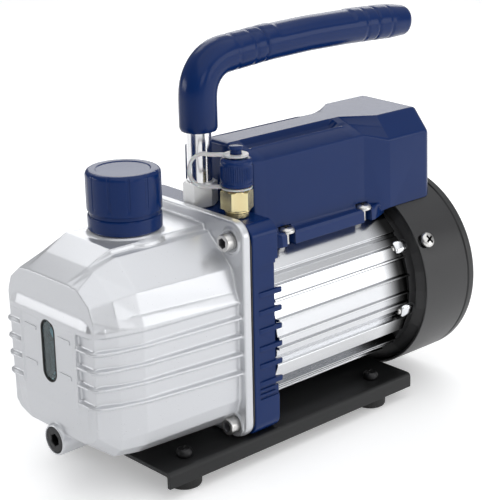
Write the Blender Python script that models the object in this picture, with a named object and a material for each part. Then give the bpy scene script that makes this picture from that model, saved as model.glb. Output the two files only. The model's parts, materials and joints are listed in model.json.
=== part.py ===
"""Rotary vane vacuum pump: an oil-sealed pump, its motor, electrical box, handle and base plate.

Sizes are in millimetres and objects are in metres, +Z up. Every position is measured from three
datums: x from the oil casing's joint face (positive towards the motor), y from the middle of the
pump and z from the floor. SEAM_X places the joint face in the world, so that the origin is at the
middle of the pump's footprint.
"""

import math

import bmesh
import bpy
from mathutils import Matrix, Vector

MM = 0.001
GAP = 0.3
SEAM_X = -47.15

# Heights
BASE_TOP = 17.0
SHAFT_Z = 70.5
FRAME_TOP = 142.8
FLANGE_TOP = 146.0
UPPER_BOLT_Z = 134.5
LOWER_BOLT_Z = 25.1
HALF_WIDTH = 53.0
BOLT_Y = 43.0

# Oil casing
CASE_FRONT = -91.0
CASE_WALL = 3.5
FLANGE_THICKNESS = 5.7
GLASS_Z = 84.5
GLASS_Y = 0.0
GLASS_WIDTH = 11.0
GLASS_HEIGHT = 34.4
FILL_X = -37.8
FILL_NECK_TOP = 141.4
FILL_BORE_RADIUS = 13.0
DRAIN_Z = 32.3
DRAIN_BORE_RADIUS = 5.2
OIL_CAP_TOP = 174.9
RIB_HEIGHTS = (58.5, 69.6, 80.6, 91.6)

# Centre frame
FRAME_FRONT = 6.9
FRAME_REAR = 25.5
FRAME_TAB_HEIGHTS = (48.2, 59.0, 69.4, 80.3, 91.3, 101.9)
FRAME_TAB_HALF = 1.6
HANDLE_X = 15.2
INLET_X = 15.2
INLET_Y = -31.3

# Pump stage
STAGE_REAR = FRAME_FRONT - GAP
STAGE_FRONT = -26.0
ROTOR_RADIUS = 18.0
BORE_RADIUS = 21.5
BORE_DROP = 3.2
VANE_THICKNESS = 4.0
SHAFT_RADIUS = 7.5
JOURNAL_RADIUS = 6.0

# Motor
MOTOR_FRONT = 26.0
MOTOR_REAR = 135.0
MOTOR_RADIUS = 53.2
MOTOR_CROWN = 56.4
MOTOR_BORE = 42.0
COVER_FRONT = 141.0
COVER_REAR = 186.5
COVER_RADIUS = 61.5
COVER_WALL = 1.5
COVER_SLOTS = 10
COVER_SCREW_X = 149.0
COVER_SCREW_ANGLES = (30.0, 150.0, 270.0)

# Electrical box
BOX_FRONT = 28.0
BOX_REAR = 173.0
BOX_TOP = 177.8
BOX_WALL = 2.5
BOX_SCREW_WALL = 4.6
BOX_SCREWS = ((51.0, 32.4), (114.0, 32.4))
BOX_SKIRT_TOP = 125.2

# Base and feet
BASE_FRONT = -55.5
BASE_REAR = 136.5
BASE_SHEET = 2.5
BASE_LIP = 9.3
FOOT_RADIUS = 9.8
FOOT_X = (-35.0, 113.0)
FOOT_Y = 40.4

# Handle
TUBE_RADIUS = 7.0
GRIP_RADIUS = 11.0
GRIP_START_Z = 186.4
GRIP_BEND = 21.0
GRIP_BEND_TOP = 227.2


# ------------------------------------------------------------------ materials and objects

def finish(name, colour, roughness, metallic=0.0):
    """A plain Principled material."""
    material = bpy.data.materials.new(name)
    material.use_nodes = True
    shader = material.node_tree.nodes["Principled BSDF"]
    shader.inputs["Base Color"].default_value = (*colour, 1.0)
    shader.inputs["Roughness"].default_value = roughness
    shader.inputs["Metallic"].default_value = metallic
    return material


FINISHES = {
    "cast_aluminium": ((0.78, 0.79, 0.81), 0.42, 0.6),
    "extruded_aluminium": ((0.80, 0.81, 0.83), 0.25, 0.9),
    "blue_gloss": ((0.026, 0.044, 0.12), 0.22, 0.0),
    "blue_plastic": ((0.024, 0.04, 0.115), 0.35, 0.0),
    "black_cover": ((0.035, 0.035, 0.036), 0.45, 0.0),
    "black_steel": ((0.03, 0.031, 0.033), 0.5, 0.2),
    "black_rubber": ((0.02, 0.02, 0.02), 0.8, 0.0),
    "brass": ((0.72, 0.58, 0.27), 0.3, 1.0),
    "chrome": ((0.85, 0.85, 0.86), 0.08, 1.0),
    "steel": ((0.62, 0.62, 0.63), 0.3, 1.0),
    "dark_steel": ((0.2, 0.2, 0.21), 0.4, 0.9),
    "cast_iron": ((0.26, 0.26, 0.27), 0.6, 0.7),
    "copper_wire": ((0.6, 0.26, 0.11), 0.4, 0.9),
    "lamination": ((0.3, 0.31, 0.33), 0.5, 0.8),
    "smoked_glass": ((0.05, 0.09, 0.1), 0.08, 0.0),
    "gasket_paper": ((0.25, 0.22, 0.17), 0.9, 0.0),
    "clear_strap": ((0.72, 0.72, 0.72), 0.3, 0.0),
    "vane_composite": ((0.1, 0.08, 0.06), 0.6, 0.0),
    "filter_foam": ((0.5, 0.48, 0.4), 0.95, 0.0),
    "red_switch": ((0.45, 0.02, 0.02), 0.35, 0.0),
}
MATERIALS = {}


def clear_scene():
    for item in list(bpy.data.objects):
        bpy.data.objects.remove(item, do_unlink=True)


def build(name, shape, finish_name, pivot=(0.0, 0.0, 0.0), smooth=True):
    """Turn a bmesh in millimetres into an object whose origin is at pivot."""
    bmesh.ops.connect_verts_nonplanar(shape, angle_limit=math.radians(0.1), faces=shape.faces)
    bmesh.ops.recalc_face_normals(shape, faces=shape.faces)
    bmesh.ops.translate(shape, verts=shape.verts, vec=-Vector(pivot))
    bmesh.ops.scale(shape, verts=shape.verts, vec=(MM, MM, MM))
    mesh = bpy.data.meshes.new(name)
    shape.to_mesh(mesh)
    shape.free()
    if smooth:
        mesh.shade_smooth()
        mesh.set_sharp_from_angle(angle=math.radians(32.0))
    item = bpy.data.objects.new(name, mesh)
    bpy.context.scene.collection.objects.link(item)
    item.location = (Vector(pivot) + Vector((SEAM_X, 0.0, 0.0))) * MM
    if finish_name not in MATERIALS:
        MATERIALS[finish_name] = finish(finish_name, *FINISHES[finish_name])
    mesh.materials.append(MATERIALS[finish_name])
    return item


def combine(item, tools, operation="DIFFERENCE"):
    """Join the tool meshes into one hidden cutter and add it to the object as a Boolean."""
    tool = merged(tools)
    name = f"{item.name}_{operation.lower()}_{len(item.modifiers)}"
    cutter = build(name, tool, "steel", smooth=False)
    cutter.hide_render = True
    cutter.display_type = "WIRE"
    modifier = item.modifiers.new(name, "BOOLEAN")
    modifier.operation = operation
    modifier.solver = "EXACT"
    modifier.object = cutter


def merged(shapes):
    """One bmesh that holds all the given ones."""
    whole = bmesh.new()
    for shape in shapes:
        mesh = bpy.data.meshes.new("part")
        bmesh.ops.recalc_face_normals(shape, faces=shape.faces)
        shape.to_mesh(mesh)
        shape.free()
        whole.from_mesh(mesh)
        bpy.data.meshes.remove(mesh)
    return whole


# ------------------------------------------------------------------ outlines and solids

def on_axis(axis, u, v, h):
    """A point h along the axis, at (u, v) on the other two axes in x, y, z order."""
    if axis == "x":
        return Vector((h, u, v))
    if axis == "y":
        return Vector((u, h, v))
    return Vector((u, v, h))


def circle(radius, segments=32, centre=(0.0, 0.0), start=0.0):
    points = []
    for step in range(segments):
        angle = start + 2.0 * math.pi * step / segments
        points.append((centre[0] + radius * math.cos(angle), centre[1] + radius * math.sin(angle)))
    return points


def rounded_rectangle(width, height, radius, centre=(0.0, 0.0), steps=4):
    """Corner arcs joined by straight sides, counter-clockwise from the upper right corner."""
    points = []
    for index, (side_u, side_v) in enumerate(((1, 1), (-1, 1), (-1, -1), (1, -1))):
        corner_u = centre[0] + side_u * (width / 2.0 - radius)
        corner_v = centre[1] + side_v * (height / 2.0 - radius)
        for step in range(steps + 1):
            angle = math.radians(90.0 * (index + step / steps))
            points.append((corner_u + radius * math.cos(angle), corner_v + radius * math.sin(angle)))
    return points


def mirrored(half):
    """A closed outline from its right-hand half, listed from the top down."""
    return list(half) + [(-u, v) for u, v in reversed(half)]


def loft(loops, ring=False):
    """Skin a row of loops; the ends are capped, or joined to each other when ring is set."""
    shape = bmesh.new()
    rows = [[shape.verts.new(point) for point in loop] for loop in loops]
    pairs = list(zip(rows, rows[1:]))
    if ring:
        pairs.append((rows[-1], rows[0]))
    for first, second in pairs:
        count = len(first)
        for index in range(count):
            following = (index + 1) % count
            shape.faces.new((first[index], first[following], second[following], second[index]))
    if not ring:
        shape.faces.new(rows[0])
        shape.faces.new(rows[-1])
    return shape


def prism(outline, axis, low, high):
    return loft([[on_axis(axis, u, v, h) for u, v in outline] for h in (low, high)])


def turned(profile, axis, centre, segments=32, ring=False):
    """Revolve (radius, height) points about an axis through centre."""
    loops = []
    for radius, height in profile:
        loops.append([on_axis(axis, u, v, height) for u, v in circle(radius, segments, centre)])
    return loft(loops, ring)


def block(x_range, y_range, z_range):
    outline = [(x_range[0], y_range[0]), (x_range[1], y_range[0]),
               (x_range[1], y_range[1]), (x_range[0], y_range[1])]
    return prism(outline, "z", *z_range)


def placed(shape, matrix):
    bmesh.ops.transform(shape, matrix=matrix, verts=shape.verts)
    return shape


# ------------------------------------------------------------------ fasteners

def socket_screw(head_radius, head_height, shank_radius, length):
    """Socket-head screw along +Z: the head's underside is at zero and the shank points down."""
    socket = head_radius * 0.5
    profile = [(shank_radius, -length), (shank_radius, 0.0), (head_radius, 0.0),
               (head_radius, head_height - 0.6), (head_radius - 0.6, head_height)]
    loops = [[Vector((u, v, h)) for u, v in circle(r, 12)] for r, h in profile]
    loops += [[Vector((u, v, h)) for u, v in hexagon_on_circle(socket, 12)]
              for h in (head_height, head_height * 0.4)]
    return loft(loops)


def hexagon_on_circle(apothem, segments):
    """A hexagon drawn with the same number of points as a circle."""
    points = []
    for step in range(segments):
        angle = 2.0 * math.pi * step / segments
        nearest = (angle + math.pi / 6.0) % (math.pi / 3.0) - math.pi / 6.0
        reach = apothem / math.cos(nearest)
        points.append((reach * math.cos(angle), reach * math.sin(angle)))
    return points


def pan_screw(head_radius, head_height, shank_radius, length, segments=12):
    """Domed cross-head screw along +Z with a square driver pocket."""
    profile = [(shank_radius, -length), (shank_radius, 0.0), (head_radius, 0.0),
               (head_radius * 0.85, head_height * 0.7), (head_radius * 0.42, head_height)]
    loops = [[Vector((u, v, h)) for u, v in circle(r, segments)] for r, h in profile]
    loops.append([Vector((u, v, head_height * 0.3)) for u, v in circle(head_radius * 0.2, segments)])
    return loft(loops)


def facing(direction, position):
    """A matrix that turns +Z to a direction and moves to a position."""
    turn = Vector(direction).to_track_quat("Z", "Y").to_matrix().to_4x4()
    return Matrix.Translation(position) @ turn


# ------------------------------------------------------------------ oil casing

def casing_sections():
    """Half outlines (y, z) of the casing's outside, from the joint face to the front."""
    return (
        (3.0, ((20.5, 139.5), (25.0, 136.6), (43.4, 119.0), (47.3, 105.5), (48.3, 40.0), (35.0, 25.0))),
        (-64.0, ((20.0, 139.5), (24.5, 136.8), (41.0, 120.5), (44.6, 107.5), (45.3, 39.5), (35.0, 27.5))),
        (-77.0, ((18.5, 132.6), (24.5, 130.6), (38.8, 119.3), (41.8, 107.8), (41.8, 38.5), (33.5, 28.8))),
        (CASE_FRONT, ((15.0, 125.0), (27.4, 124.4), (35.2, 117.5), (38.2, 108.5), (36.8, 44.0), (24.0, 38.2))),
    )


def inset_section(half, wall):
    middle = sum(z for _, z in half) / len(half)
    return [(y - wall, z - math.copysign(wall, z - middle)) for y, z in half]


def oil_casing():
    outside = casing_sections()
    loops = []
    for x, half in reversed(outside):
        loops.append([Vector((x, y, z)) for y, z in mirrored(half)])
    for x, half in outside:
        depth = max(x, CASE_FRONT + CASE_WALL)
        loops.append([Vector((depth, y, z)) for y, z in mirrored(inset_section(half, CASE_WALL))])
    casing = build("oil_casing", loft(loops), "cast_aluminium")
    outline = rounded_rectangle(2.0 * HALF_WIDTH, FLANGE_TOP - BASE_TOP - GAP, 10.0,
                                (0.0, (FLANGE_TOP + BASE_TOP + GAP) / 2.0))
    window = mirrored(inset_section(outside[0][1], CASE_WALL + 1.0))
    flange = loft([[Vector((h, u, v)) for u, v in outline] for h in (0.0, FLANGE_THICKNESS)])
    combine(casing, [flange], "UNION")
    combine(casing, [prism(window, "x", -1.0, FLANGE_THICKNESS + 1.0)])
    neck = turned([(18.8, 134.0), (18.4, FILL_NECK_TOP)], "z", (FILL_X, 0.0), 40)
    combine(casing, [neck], "UNION")
    boss = turned([(8.4, CASE_FRONT + 1.4), (8.4, -62.0)], "x", (0.0, DRAIN_Z), 28)
    combine(casing, [boss], "UNION")
    for height in RIB_HEIGHTS:
        combine(casing, [casing_rib(-1.0, height), casing_rib(1.0, height)], "UNION")
    combine(casing, casing_openings())
    return casing


def casing_rib(side, height):
    """A raised rib that wraps from the front face, round the corner, to the joint flange."""
    path = [(2.0, 51.4), (-64.0, 47.2), (-85.0, 41.6), (-90.0, 38.8), (-92.2, 34.5), (-92.2, 24.0),
            (-89.0, 24.0), (-88.0, 34.0), (-84.0, 38.0), (-64.0, 43.2), (2.0, 46.5)]
    return prism([(x, side * y) for x, y in path], "z", height - 1.4, height + 1.4)


def casing_openings():
    shapes = [turned([(FILL_BORE_RADIUS, 125.0), (FILL_BORE_RADIUS, 150.0)], "z", (FILL_X, 0.0), 24),
              turned([(7.6, -100.0), (7.6, -88.8), (6.9, -88.8), (6.9, -87.7), (DRAIN_BORE_RADIUS, -87.7),
                      (DRAIN_BORE_RADIUS, -55.0)], "x", (0.0, DRAIN_Z), 20)]
    slot = rounded_rectangle(GLASS_WIDTH, GLASS_HEIGHT, GLASS_WIDTH / 2.0 - 0.01, (GLASS_Y, GLASS_Z), 4)
    shapes.append(prism(slot, "x", -100.0, -80.0))
    for y, z in bolt_places():
        shapes.append(turned([(3.3, -2.0), (3.3, 8.0)], "x", (y, z), 12))
    return shapes


def bolt_places():
    return [(side * BOLT_Y, z) for z in (UPPER_BOLT_Z, LOWER_BOLT_Z) for side in (-1.0, 1.0)]


def casing_fittings():
    glass = rounded_rectangle(GLASS_WIDTH - 2 * GAP, GLASS_HEIGHT - 2 * GAP, GLASS_WIDTH / 2.0 - GAP - 0.01,
                              (GLASS_Y, GLASS_Z), 4)
    build("sight_glass", prism(glass, "x", CASE_FRONT + 0.6, CASE_FRONT + 4.6), "smoked_glass")
    for number, (y, z) in enumerate(bolt_places(), 1):
        screw = placed(socket_screw(5.0, 6.0, 2.9, 20.0), facing((-1.0, 0.0, 0.0), (-GAP, y, z)))
        build(f"casing_screw_{number}", screw, "steel")
    casing_gasket()


def casing_gasket():
    low, high = FLANGE_THICKNESS + GAP, FRAME_FRONT - GAP
    outline = rounded_rectangle(2.0 * HALF_WIDTH - 1.0, FLANGE_TOP - BASE_TOP - 5.2, 10.0,
                                (0.0, (FLANGE_TOP + BASE_TOP - 3.6) / 2.0))
    gasket = build("casing_gasket", prism(outline, "x", low, high), "gasket_paper")
    window = mirrored(inset_section(casing_sections()[0][1], CASE_WALL + 2.0))
    holes = [prism(window, "x", low - 1.0, high + 1.0)]
    for y, z in bolt_places():
        holes.append(turned([(3.3, low - 1.0), (3.3, high + 1.0)], "x", (y, z), 12))
    combine(gasket, holes)


def drain():
    """Plug in the casing's low boss, and the ring that seals under its head."""
    front = CASE_FRONT - 0.2
    profile = [(4.7, -80.0), (4.7, -89.1), (7.2, -89.1), (7.2, front + 0.8), (6.4, front)]
    loops = [[on_axis("x", u, v, h) for u, v in circle(r, 24, (0.0, DRAIN_Z))] for r, h in profile]
    for depth in (front, front + 3.0):
        loops.append([on_axis("x", u, v + DRAIN_Z, depth) for u, v in hexagon_on_circle(3.0, 24)])
    plug_pivot = (front, 0.0, DRAIN_Z)
    build("drain_plug", loft(loops), "dark_steel", plug_pivot)
    seal = turned([(5.0, -88.8), (6.6, -88.8), (6.6, -88.0), (5.0, -88.0)], "x", (0.0, DRAIN_Z), 24, True)
    build("drain_plug_seal", seal, "black_rubber", (-88.4, 0.0, DRAIN_Z))


# ------------------------------------------------------------------ oil cap

def oil_cap():
    """Fluted filler cap, its sealing ring and the mist filter that hangs in the neck."""
    top = OIL_CAP_TOP
    bottom = FILL_NECK_TOP + GAP
    pivot = (FILL_X, 0.0, bottom)
    plug = [(12.2, bottom - 8.0), (12.2, bottom - 2.6), (11.0, bottom - 2.6), (11.0, bottom)]
    profile = plug + [(20.0, bottom), (20.2, bottom + 8.0), (19.4, bottom + 8.6), (19.4, bottom + 10.4),
                       (20.3, bottom + 11.0), (20.3, top - 1.6), (18.8, top)]
    cap = build("oil_cap", turned(profile, "z", (FILL_X, 0.0), 36), "blue_plastic", pivot)
    flutes = []
    for step in range(12):
        angle = 2.0 * math.pi * step / 12
        centre = (FILL_X + 21.2 * math.cos(angle), 21.2 * math.sin(angle))
        flutes.append(turned([(1.6, bottom + 14.0), (1.6, top + 1.0)], "z", centre, 6))
    combine(cap, flutes)
    combine(cap, [turned([(8.0, bottom - 9.0), (8.0, bottom + 20.0)], "z", (FILL_X, 0.0), 24)])
    seal = turned([(11.4, bottom - 2.3), (12.6, bottom - 2.3), (12.6, bottom - GAP), (11.4, bottom - GAP)],
                  "z", (FILL_X, 0.0), 20, True)
    build("oil_cap_seal", seal, "black_rubber", (FILL_X, 0.0, bottom - 1.3))
    mist = turned([(6.0, 108.0), (11.4, 108.0), (11.4, 130.4), (6.0, 130.4)], "z", (FILL_X, 0.0), 20, True)
    build("mist_filter", mist, "filter_foam")


# ------------------------------------------------------------------ centre frame

def frame_outline():
    """Half outline (y, z): shouldered top corners and rounded lower corners."""
    half = [(46.3, FRAME_TOP), (51.2, 139.6), (HALF_WIDTH, 137.0)]
    radius = 8.0
    bottom = BASE_TOP + GAP
    for step in range(5):
        angle = math.radians(-90.0 * step / 4)
        half.append((HALF_WIDTH - radius + radius * math.cos(angle), bottom + radius + radius * math.sin(angle)))
    return mirrored(half)


def centre_frame():
    frame = build("centre_frame", prism(frame_outline(), "x", FRAME_FRONT, FRAME_REAR), "blue_gloss")
    combine(frame, [frame_side_pocket(-1.0), frame_side_pocket(1.0)])
    seats = [(13.0, 0.0), (13.0, 12.5), (9.0, 12.5), (9.0, 13.4), (17.8, 13.4), (17.8, 30.0)]
    combine(frame, [turned(seats, "x", (0.0, SHAFT_Z), 28)])
    holes = [turned([(3.3, 0.0), (3.3, 22.0)], "x", place, 12) for place in bolt_places()]
    holes.append(turned([(TUBE_RADIUS + GAP, 126.0), (TUBE_RADIUS + GAP, 150.0)], "z", (HANDLE_X, 0.0), 28))
    holes.append(turned([(5.2, 120.0), (5.2, 150.0)], "z", (INLET_X, INLET_Y), 20))
    combine(frame, holes)


def frame_side_pocket(side):
    """Comb of shallow recesses in the rear edge, which leaves a row of short tabs."""
    outer = HALF_WIDTH + 2.0
    tab_root = HALF_WIDTH - 4.0
    low, high = 44.5, 121.0
    points = [(outer, low)]
    for z in FRAME_TAB_HEIGHTS:
        under, over = z - FRAME_TAB_HALF, z + FRAME_TAB_HALF
        points += [(outer, under), (tab_root, under), (tab_root, over), (outer, over)]
    points += [(outer, high), (HALF_WIDTH - 6.0, high), (HALF_WIDTH - 6.0, low)]
    return prism([(side * y, z) for y, z in points], "x", FRAME_REAR - 2.2, FRAME_REAR + 2.0)


# ------------------------------------------------------------------ inlet

def inlet():
    centre = (INLET_X, INLET_Y)
    foot = FRAME_TOP + GAP
    hex_low, hex_high = foot + 4.2, foot + 15.4
    loops = [[Vector((u, v, h)) for u, v in circle(r, 18, centre)]
             for r, h in ((4.8, foot - 16.0), (4.8, foot), (6.5, foot), (6.5, hex_low))]
    for h in (hex_low, hex_high):
        loops.append([Vector((u + centre[0], v + centre[1], h)) for u, v in hexagon_on_circle(8.0, 18)])
    for radius, height in ((5.4, hex_high), (5.4, hex_high + 12.0), (4.6, hex_high + 13.0),
                           (2.4, hex_high + 13.0), (2.4, foot - 16.0)):
        loops.append([Vector((u, v, height)) for u, v in circle(radius, 18, centre)])
    build("inlet_fitting", loft(loops, True), "brass")
    inlet_cap(centre, hex_high)


def inlet_cap(centre, hex_high):
    """Knurled flare cap with its sealing disc and the strap that keeps it from getting lost."""
    low, high = hex_high + 2.4, hex_high + 18.2
    pivot = (*centre, low)
    profile = [(5.9, high - 3.2), (5.9, low), (9.0, low), (9.3, low + 1.2), (9.3, high - 2.4), (8.2, high),
               (3.6, high), (3.2, high + 1.0), (3.2, high + 4.4), (4.2, high + 5.2), (4.0, high + 6.6)]
    build("inlet_cap", turned(profile, "z", centre, 20), "blue_plastic", pivot)
    disc = turned([(2.6, high - 4.9), (5.4, high - 4.9), (5.4, high - 3.5), (2.6, high - 3.5)],
                  "z", centre, 24, True)
    build("inlet_cap_seal", disc, "black_rubber", (*centre, high - 4.2))
    cap_tether(centre, hex_high + 1.3, high + 2.0)


def cap_tether(centre, low, high):
    """Soft strap: a ring under the cap, a loop round its side and a ring on the cap's stem."""
    reach, bend = 28.0, 8.5
    lean = math.radians(136.0)
    out = Vector((math.cos(lean), math.sin(lean), 0.0))
    middle = (low + high) / 2.0
    base = Vector((*centre, 0.0))
    path = [base + out * 9.8 + Vector((0.0, 0.0, high - 1.0))]
    for step in range(7):
        angle = math.radians(90.0 - 180.0 * step / 6)
        path.append(base + out * (reach - bend + bend * math.cos(angle))
                    + Vector((0.0, 0.0, middle + (high - low) / 2.0 * math.sin(angle))))
    path.append(base + out * 7.2 + Vector((0.0, 0.0, low)))
    side = Vector((-out.y, out.x, 0.0))
    loops = []
    for index, point in enumerate(path):
        ahead = path[min(index + 1, len(path) - 1)] - path[max(index - 1, 0)]
        normal = ahead.normalized().cross(side).normalized()
        loops.append([point + side * a * 1.9 + normal * b * 0.55
                      for a, b in ((-1, -1), (1, -1), (1, 1), (-1, 1))])
    strap = build("cap_tether", loft(loops), "clear_strap", pivot=(*centre, low))
    ring = turned([(5.8, low - 0.6), (8.2, low - 0.6), (8.2, low + 0.6), (5.8, low + 0.6)], "z", centre, 16, True)
    eye = turned([(3.6, high - 1.6), (10.4, high - 1.6), (10.4, high - 0.4), (3.6, high - 0.4)],
                 "z", centre, 16, True)
    combine(strap, [ring], "UNION")
    combine(strap, [eye], "UNION")


# ------------------------------------------------------------------ handle

def handle():
    centre = (HANDLE_X, 0.0)
    tube = turned([(TUBE_RADIUS, 127.0), (TUBE_RADIUS, 214.0), (5.4, 214.0), (5.4, 127.0)], "z", centre, 20, True)
    build("handle_tube", tube, "chrome")
    low = FLANGE_TOP - 2.6
    loops = [[Vector((u + HANDLE_X, v, h)) for u, v in hexagon_on_circle(a, 24)]
             for a, h in ((8.6, low), (8.6, low + 12.0))]
    inner = [[Vector((u, v, h)) for u, v in circle(TUBE_RADIUS + GAP, 24, centre)] for h in (low + 12.0, low)]
    build("handle_nut", loft(loops + inner, True), "steel")
    handle_grip()


def grip_path():
    """Centre line of the grip: up from the tube, round a bend, then back over the pump."""
    bend = GRIP_BEND
    corner_z = GRIP_BEND_TOP - bend
    points = [(HANDLE_X, GRIP_START_Z), (HANDLE_X, 198.0)]
    for step in range(7):
        angle = math.radians(180.0 - 86.0 * step / 6)
        points.append((HANDLE_X + bend + bend * math.cos(angle), corner_z + bend * math.sin(angle)))
    points += [(66.0, 229.4), (98.0, 230.4), (130.0, 230.0), (160.0, 229.0), (178.0, 227.8), (185.0, 226.4)]
    return points


def handle_grip():
    points = grip_path()
    loops = []
    for index, (x, z) in enumerate(points):
        before = points[max(index - 1, 0)]
        after = points[min(index + 1, len(points) - 1)]
        along = Vector((after[0] - before[0], 0.0, after[1] - before[1])).normalized()
        across = Vector((-along.z, 0.0, along.x))
        radius = GRIP_RADIUS * {1: 0.55, 2: 0.85}.get(len(points) - index, 1.0)
        loops.append([Vector((x, 0.0, z)) + across * u * radius + Vector((0.0, v * radius, 0.0))
                      for u, v in circle(1.0, 18)])
    grip = build("handle_grip", loft(loops), "blue_plastic")
    socket = turned([(TUBE_RADIUS + GAP, 180.0), (TUBE_RADIUS + GAP, 215.0)], "z", (HANDLE_X, 0.0), 20)
    combine(grip, [socket])


# ------------------------------------------------------------------ pump stage

def pump_stage():
    outline = rounded_rectangle(60.0, 62.0, 8.0, (0.0, SHAFT_Z - 1.0))
    cylinder = build("pump_cylinder", prism(outline, "x", STAGE_FRONT, STAGE_REAR), "cast_iron")
    bore = turned([(BORE_RADIUS, -40.0), (BORE_RADIUS, 20.0)], "x", (0.0, SHAFT_Z - BORE_DROP), 40)
    port = turned([(2.5, SHAFT_Z + 10.0), (2.5, SHAFT_Z + 40.0)], "z", (-8.0, 9.0), 12)
    combine(cylinder, [bore])
    combine(cylinder, [port])
    plate = rounded_rectangle(58.0, 60.0, 7.0, (0.0, SHAFT_Z - 1.0))
    front = build("pump_front_plate", prism(plate, "x", STAGE_FRONT - 8.0, STAGE_FRONT - GAP), "cast_iron")
    combine(front, [turned([(JOURNAL_RADIUS + GAP, -40.0), (JOURNAL_RADIUS + GAP, -20.0)], "x",
                           (0.0, SHAFT_Z), 28)])
    seat = SHAFT_Z + 30.0 + GAP
    reed = block((-20.0, -2.0), (4.0, 14.0), (seat, seat + 0.7))
    build("discharge_reed", reed, "steel", (-20.0, 9.0, seat))
    rotor_and_vanes()
    seal = turned([(SHAFT_RADIUS + GAP, 7.2), (12.6, 7.2), (12.6, 12.2), (SHAFT_RADIUS + GAP, 12.2)],
                  "x", (0.0, SHAFT_Z), 20, True)
    build("shaft_seal", seal, "black_rubber")


def rotor_and_vanes():
    pivot = (0.0, 0.0, SHAFT_Z)
    low, high = STAGE_FRONT + GAP, STAGE_REAR - GAP
    body = turned([(JOURNAL_RADIUS + GAP, low), (ROTOR_RADIUS, low), (ROTOR_RADIUS, high),
                   (JOURNAL_RADIUS + GAP, high)], "x", (0.0, SHAFT_Z), 36, True)
    rotor = build("pump_rotor", body, "steel", pivot)
    half = VANE_THICKNESS / 2.0 + GAP
    inner = JOURNAL_RADIUS + 1.8
    slots = [block((low - 2.0, high + 2.0), sorted((side * inner, side * 22.0)), (SHAFT_Z - half, SHAFT_Z + half))
             for side in (-1.0, 1.0)]
    combine(rotor, slots)
    for name, side in (("vane_a", 1.0), ("vane_b", -1.0)):
        y_range = sorted((side * (inner + GAP), side * (ROTOR_RADIUS - 0.2)))
        blade = block((low, high), y_range, (SHAFT_Z - VANE_THICKNESS / 2.0, SHAFT_Z + VANE_THICKNESS / 2.0))
        build(name, blade, "vane_composite", (0.0, side * inner, SHAFT_Z))


# ------------------------------------------------------------------ motor

def fin_outline():
    """Outside of the motor extrusion: grooved all round, with a higher crown under the box."""
    points = []
    grooves = 20
    for index in range(grooves):
        outer = MOTOR_CROWN if 2 <= index < 8 else MOTOR_RADIUS
        for share, radius in ((0.0, outer), (0.36, outer), (0.72, outer),
                              (0.74, MOTOR_RADIUS - 3.0), (0.98, MOTOR_RADIUS - 3.0)):
            angle = 2.0 * math.pi * (index + share) / grooves
            points.append((radius * math.cos(angle), SHAFT_Z + radius * math.sin(angle)))
    return points


def motor():
    outline = fin_outline()
    loops = [[Vector((x, y, z)) for y, z in outline] for x in (MOTOR_FRONT, MOTOR_REAR)]
    housing = build("motor_housing", loft(loops), "extruded_aluminium")
    combine(housing, [turned([(MOTOR_BORE, 20.0), (MOTOR_BORE, 140.0)], "x", (0.0, SHAFT_Z), 48)])
    axis = (0.0, SHAFT_Z)
    core = turned([(26.0, 50.0), (MOTOR_BORE - GAP, 50.0), (MOTOR_BORE - GAP, 106.0), (26.0, 106.0)],
                  "x", axis, 32, True)
    build("stator_core", core, "lamination")
    for name, low, high in (("stator_winding_front", 35.0, 49.7), ("stator_winding_rear", 106.3, 121.0)):
        coil = turned([(27.0, low), (40.0, low), (40.0, high), (27.0, high)], "x", axis, 28, True)
        build(name, coil, "copper_wire")
    rotating_parts(axis)
    bearings(axis)
    end_shield(axis)


def rotating_parts(axis):
    pivot = (0.0, 0.0, SHAFT_Z)
    profile = [(JOURNAL_RADIUS, -32.0), (JOURNAL_RADIUS, 6.6), (SHAFT_RADIUS, 6.6), (SHAFT_RADIUS, 179.0)]
    build("motor_shaft", turned(profile, "x", axis, 24), "steel", pivot)
    core = turned([(SHAFT_RADIUS + GAP, 48.0), (25.4, 48.0), (25.4, 108.0), (SHAFT_RADIUS + GAP, 108.0)],
                  "x", axis, 28, True)
    build("rotor_core", core, "lamination", pivot)
    hub = turned([(SHAFT_RADIUS + GAP, 163.0), (46.0, 163.0), (46.0, 165.0), (14.0, 165.0), (14.0, 177.0),
                  (SHAFT_RADIUS + GAP, 177.0)], "x", axis, 28, True)
    fan = build("cooling_fan", hub, "black_cover", pivot)
    blades = []
    for step in range(7):
        turn = Matrix.Rotation(2.0 * math.pi * step / 7 + 0.2, 4, "X")
        blade = block((164.0, 176.0), (-1.2, 1.2), (12.0, 50.0))
        blades.append(placed(blade, Matrix.Translation((0.0, 0.0, SHAFT_Z)) @ turn))
    combine(fan, blades, "UNION")


def bearings(axis):
    for name, low in (("front_bearing", 13.7), ("rear_bearing", 142.3)):
        race = turned([(SHAFT_RADIUS + GAP, low), (17.5, low), (17.5, low + 11.0), (SHAFT_RADIUS + GAP, low + 11.0)],
                      "x", axis, 24, True)
        build(name, race, "steel")


def end_shield(axis):
    """Rear shield: a rim that carries the fan cover and a hub that seats the rear bearing."""
    outer = COVER_RADIUS - COVER_WALL - 2.0 * GAP
    profile = [(17.8, 142.0), (17.8, 154.5), (outer, 154.5), (outer, 145.5), (52.0, 141.5), (52.0, 135.4),
               (45.0, 135.4), (43.0, 142.0)]
    shield = turned(profile, "x", axis, 28, True)
    item = build("rear_end_shield", shield, "black_cover")
    holes = [turned_radial(1.9, 44.0, 62.0, angle, COVER_SCREW_X) for angle in COVER_SCREW_ANGLES]
    combine(item, holes)
    vents = []
    for step in range(6):
        turn = Matrix.Rotation(2.0 * math.pi * step / 6 + 0.3, 4, "X")
        vents.append(placed(block((134.0, 160.0), (-6.0, 6.0), (24.0, 36.0)),
                            Matrix.Translation((0.0, 0.0, SHAFT_Z)) @ turn))
    combine(item, vents)


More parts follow.
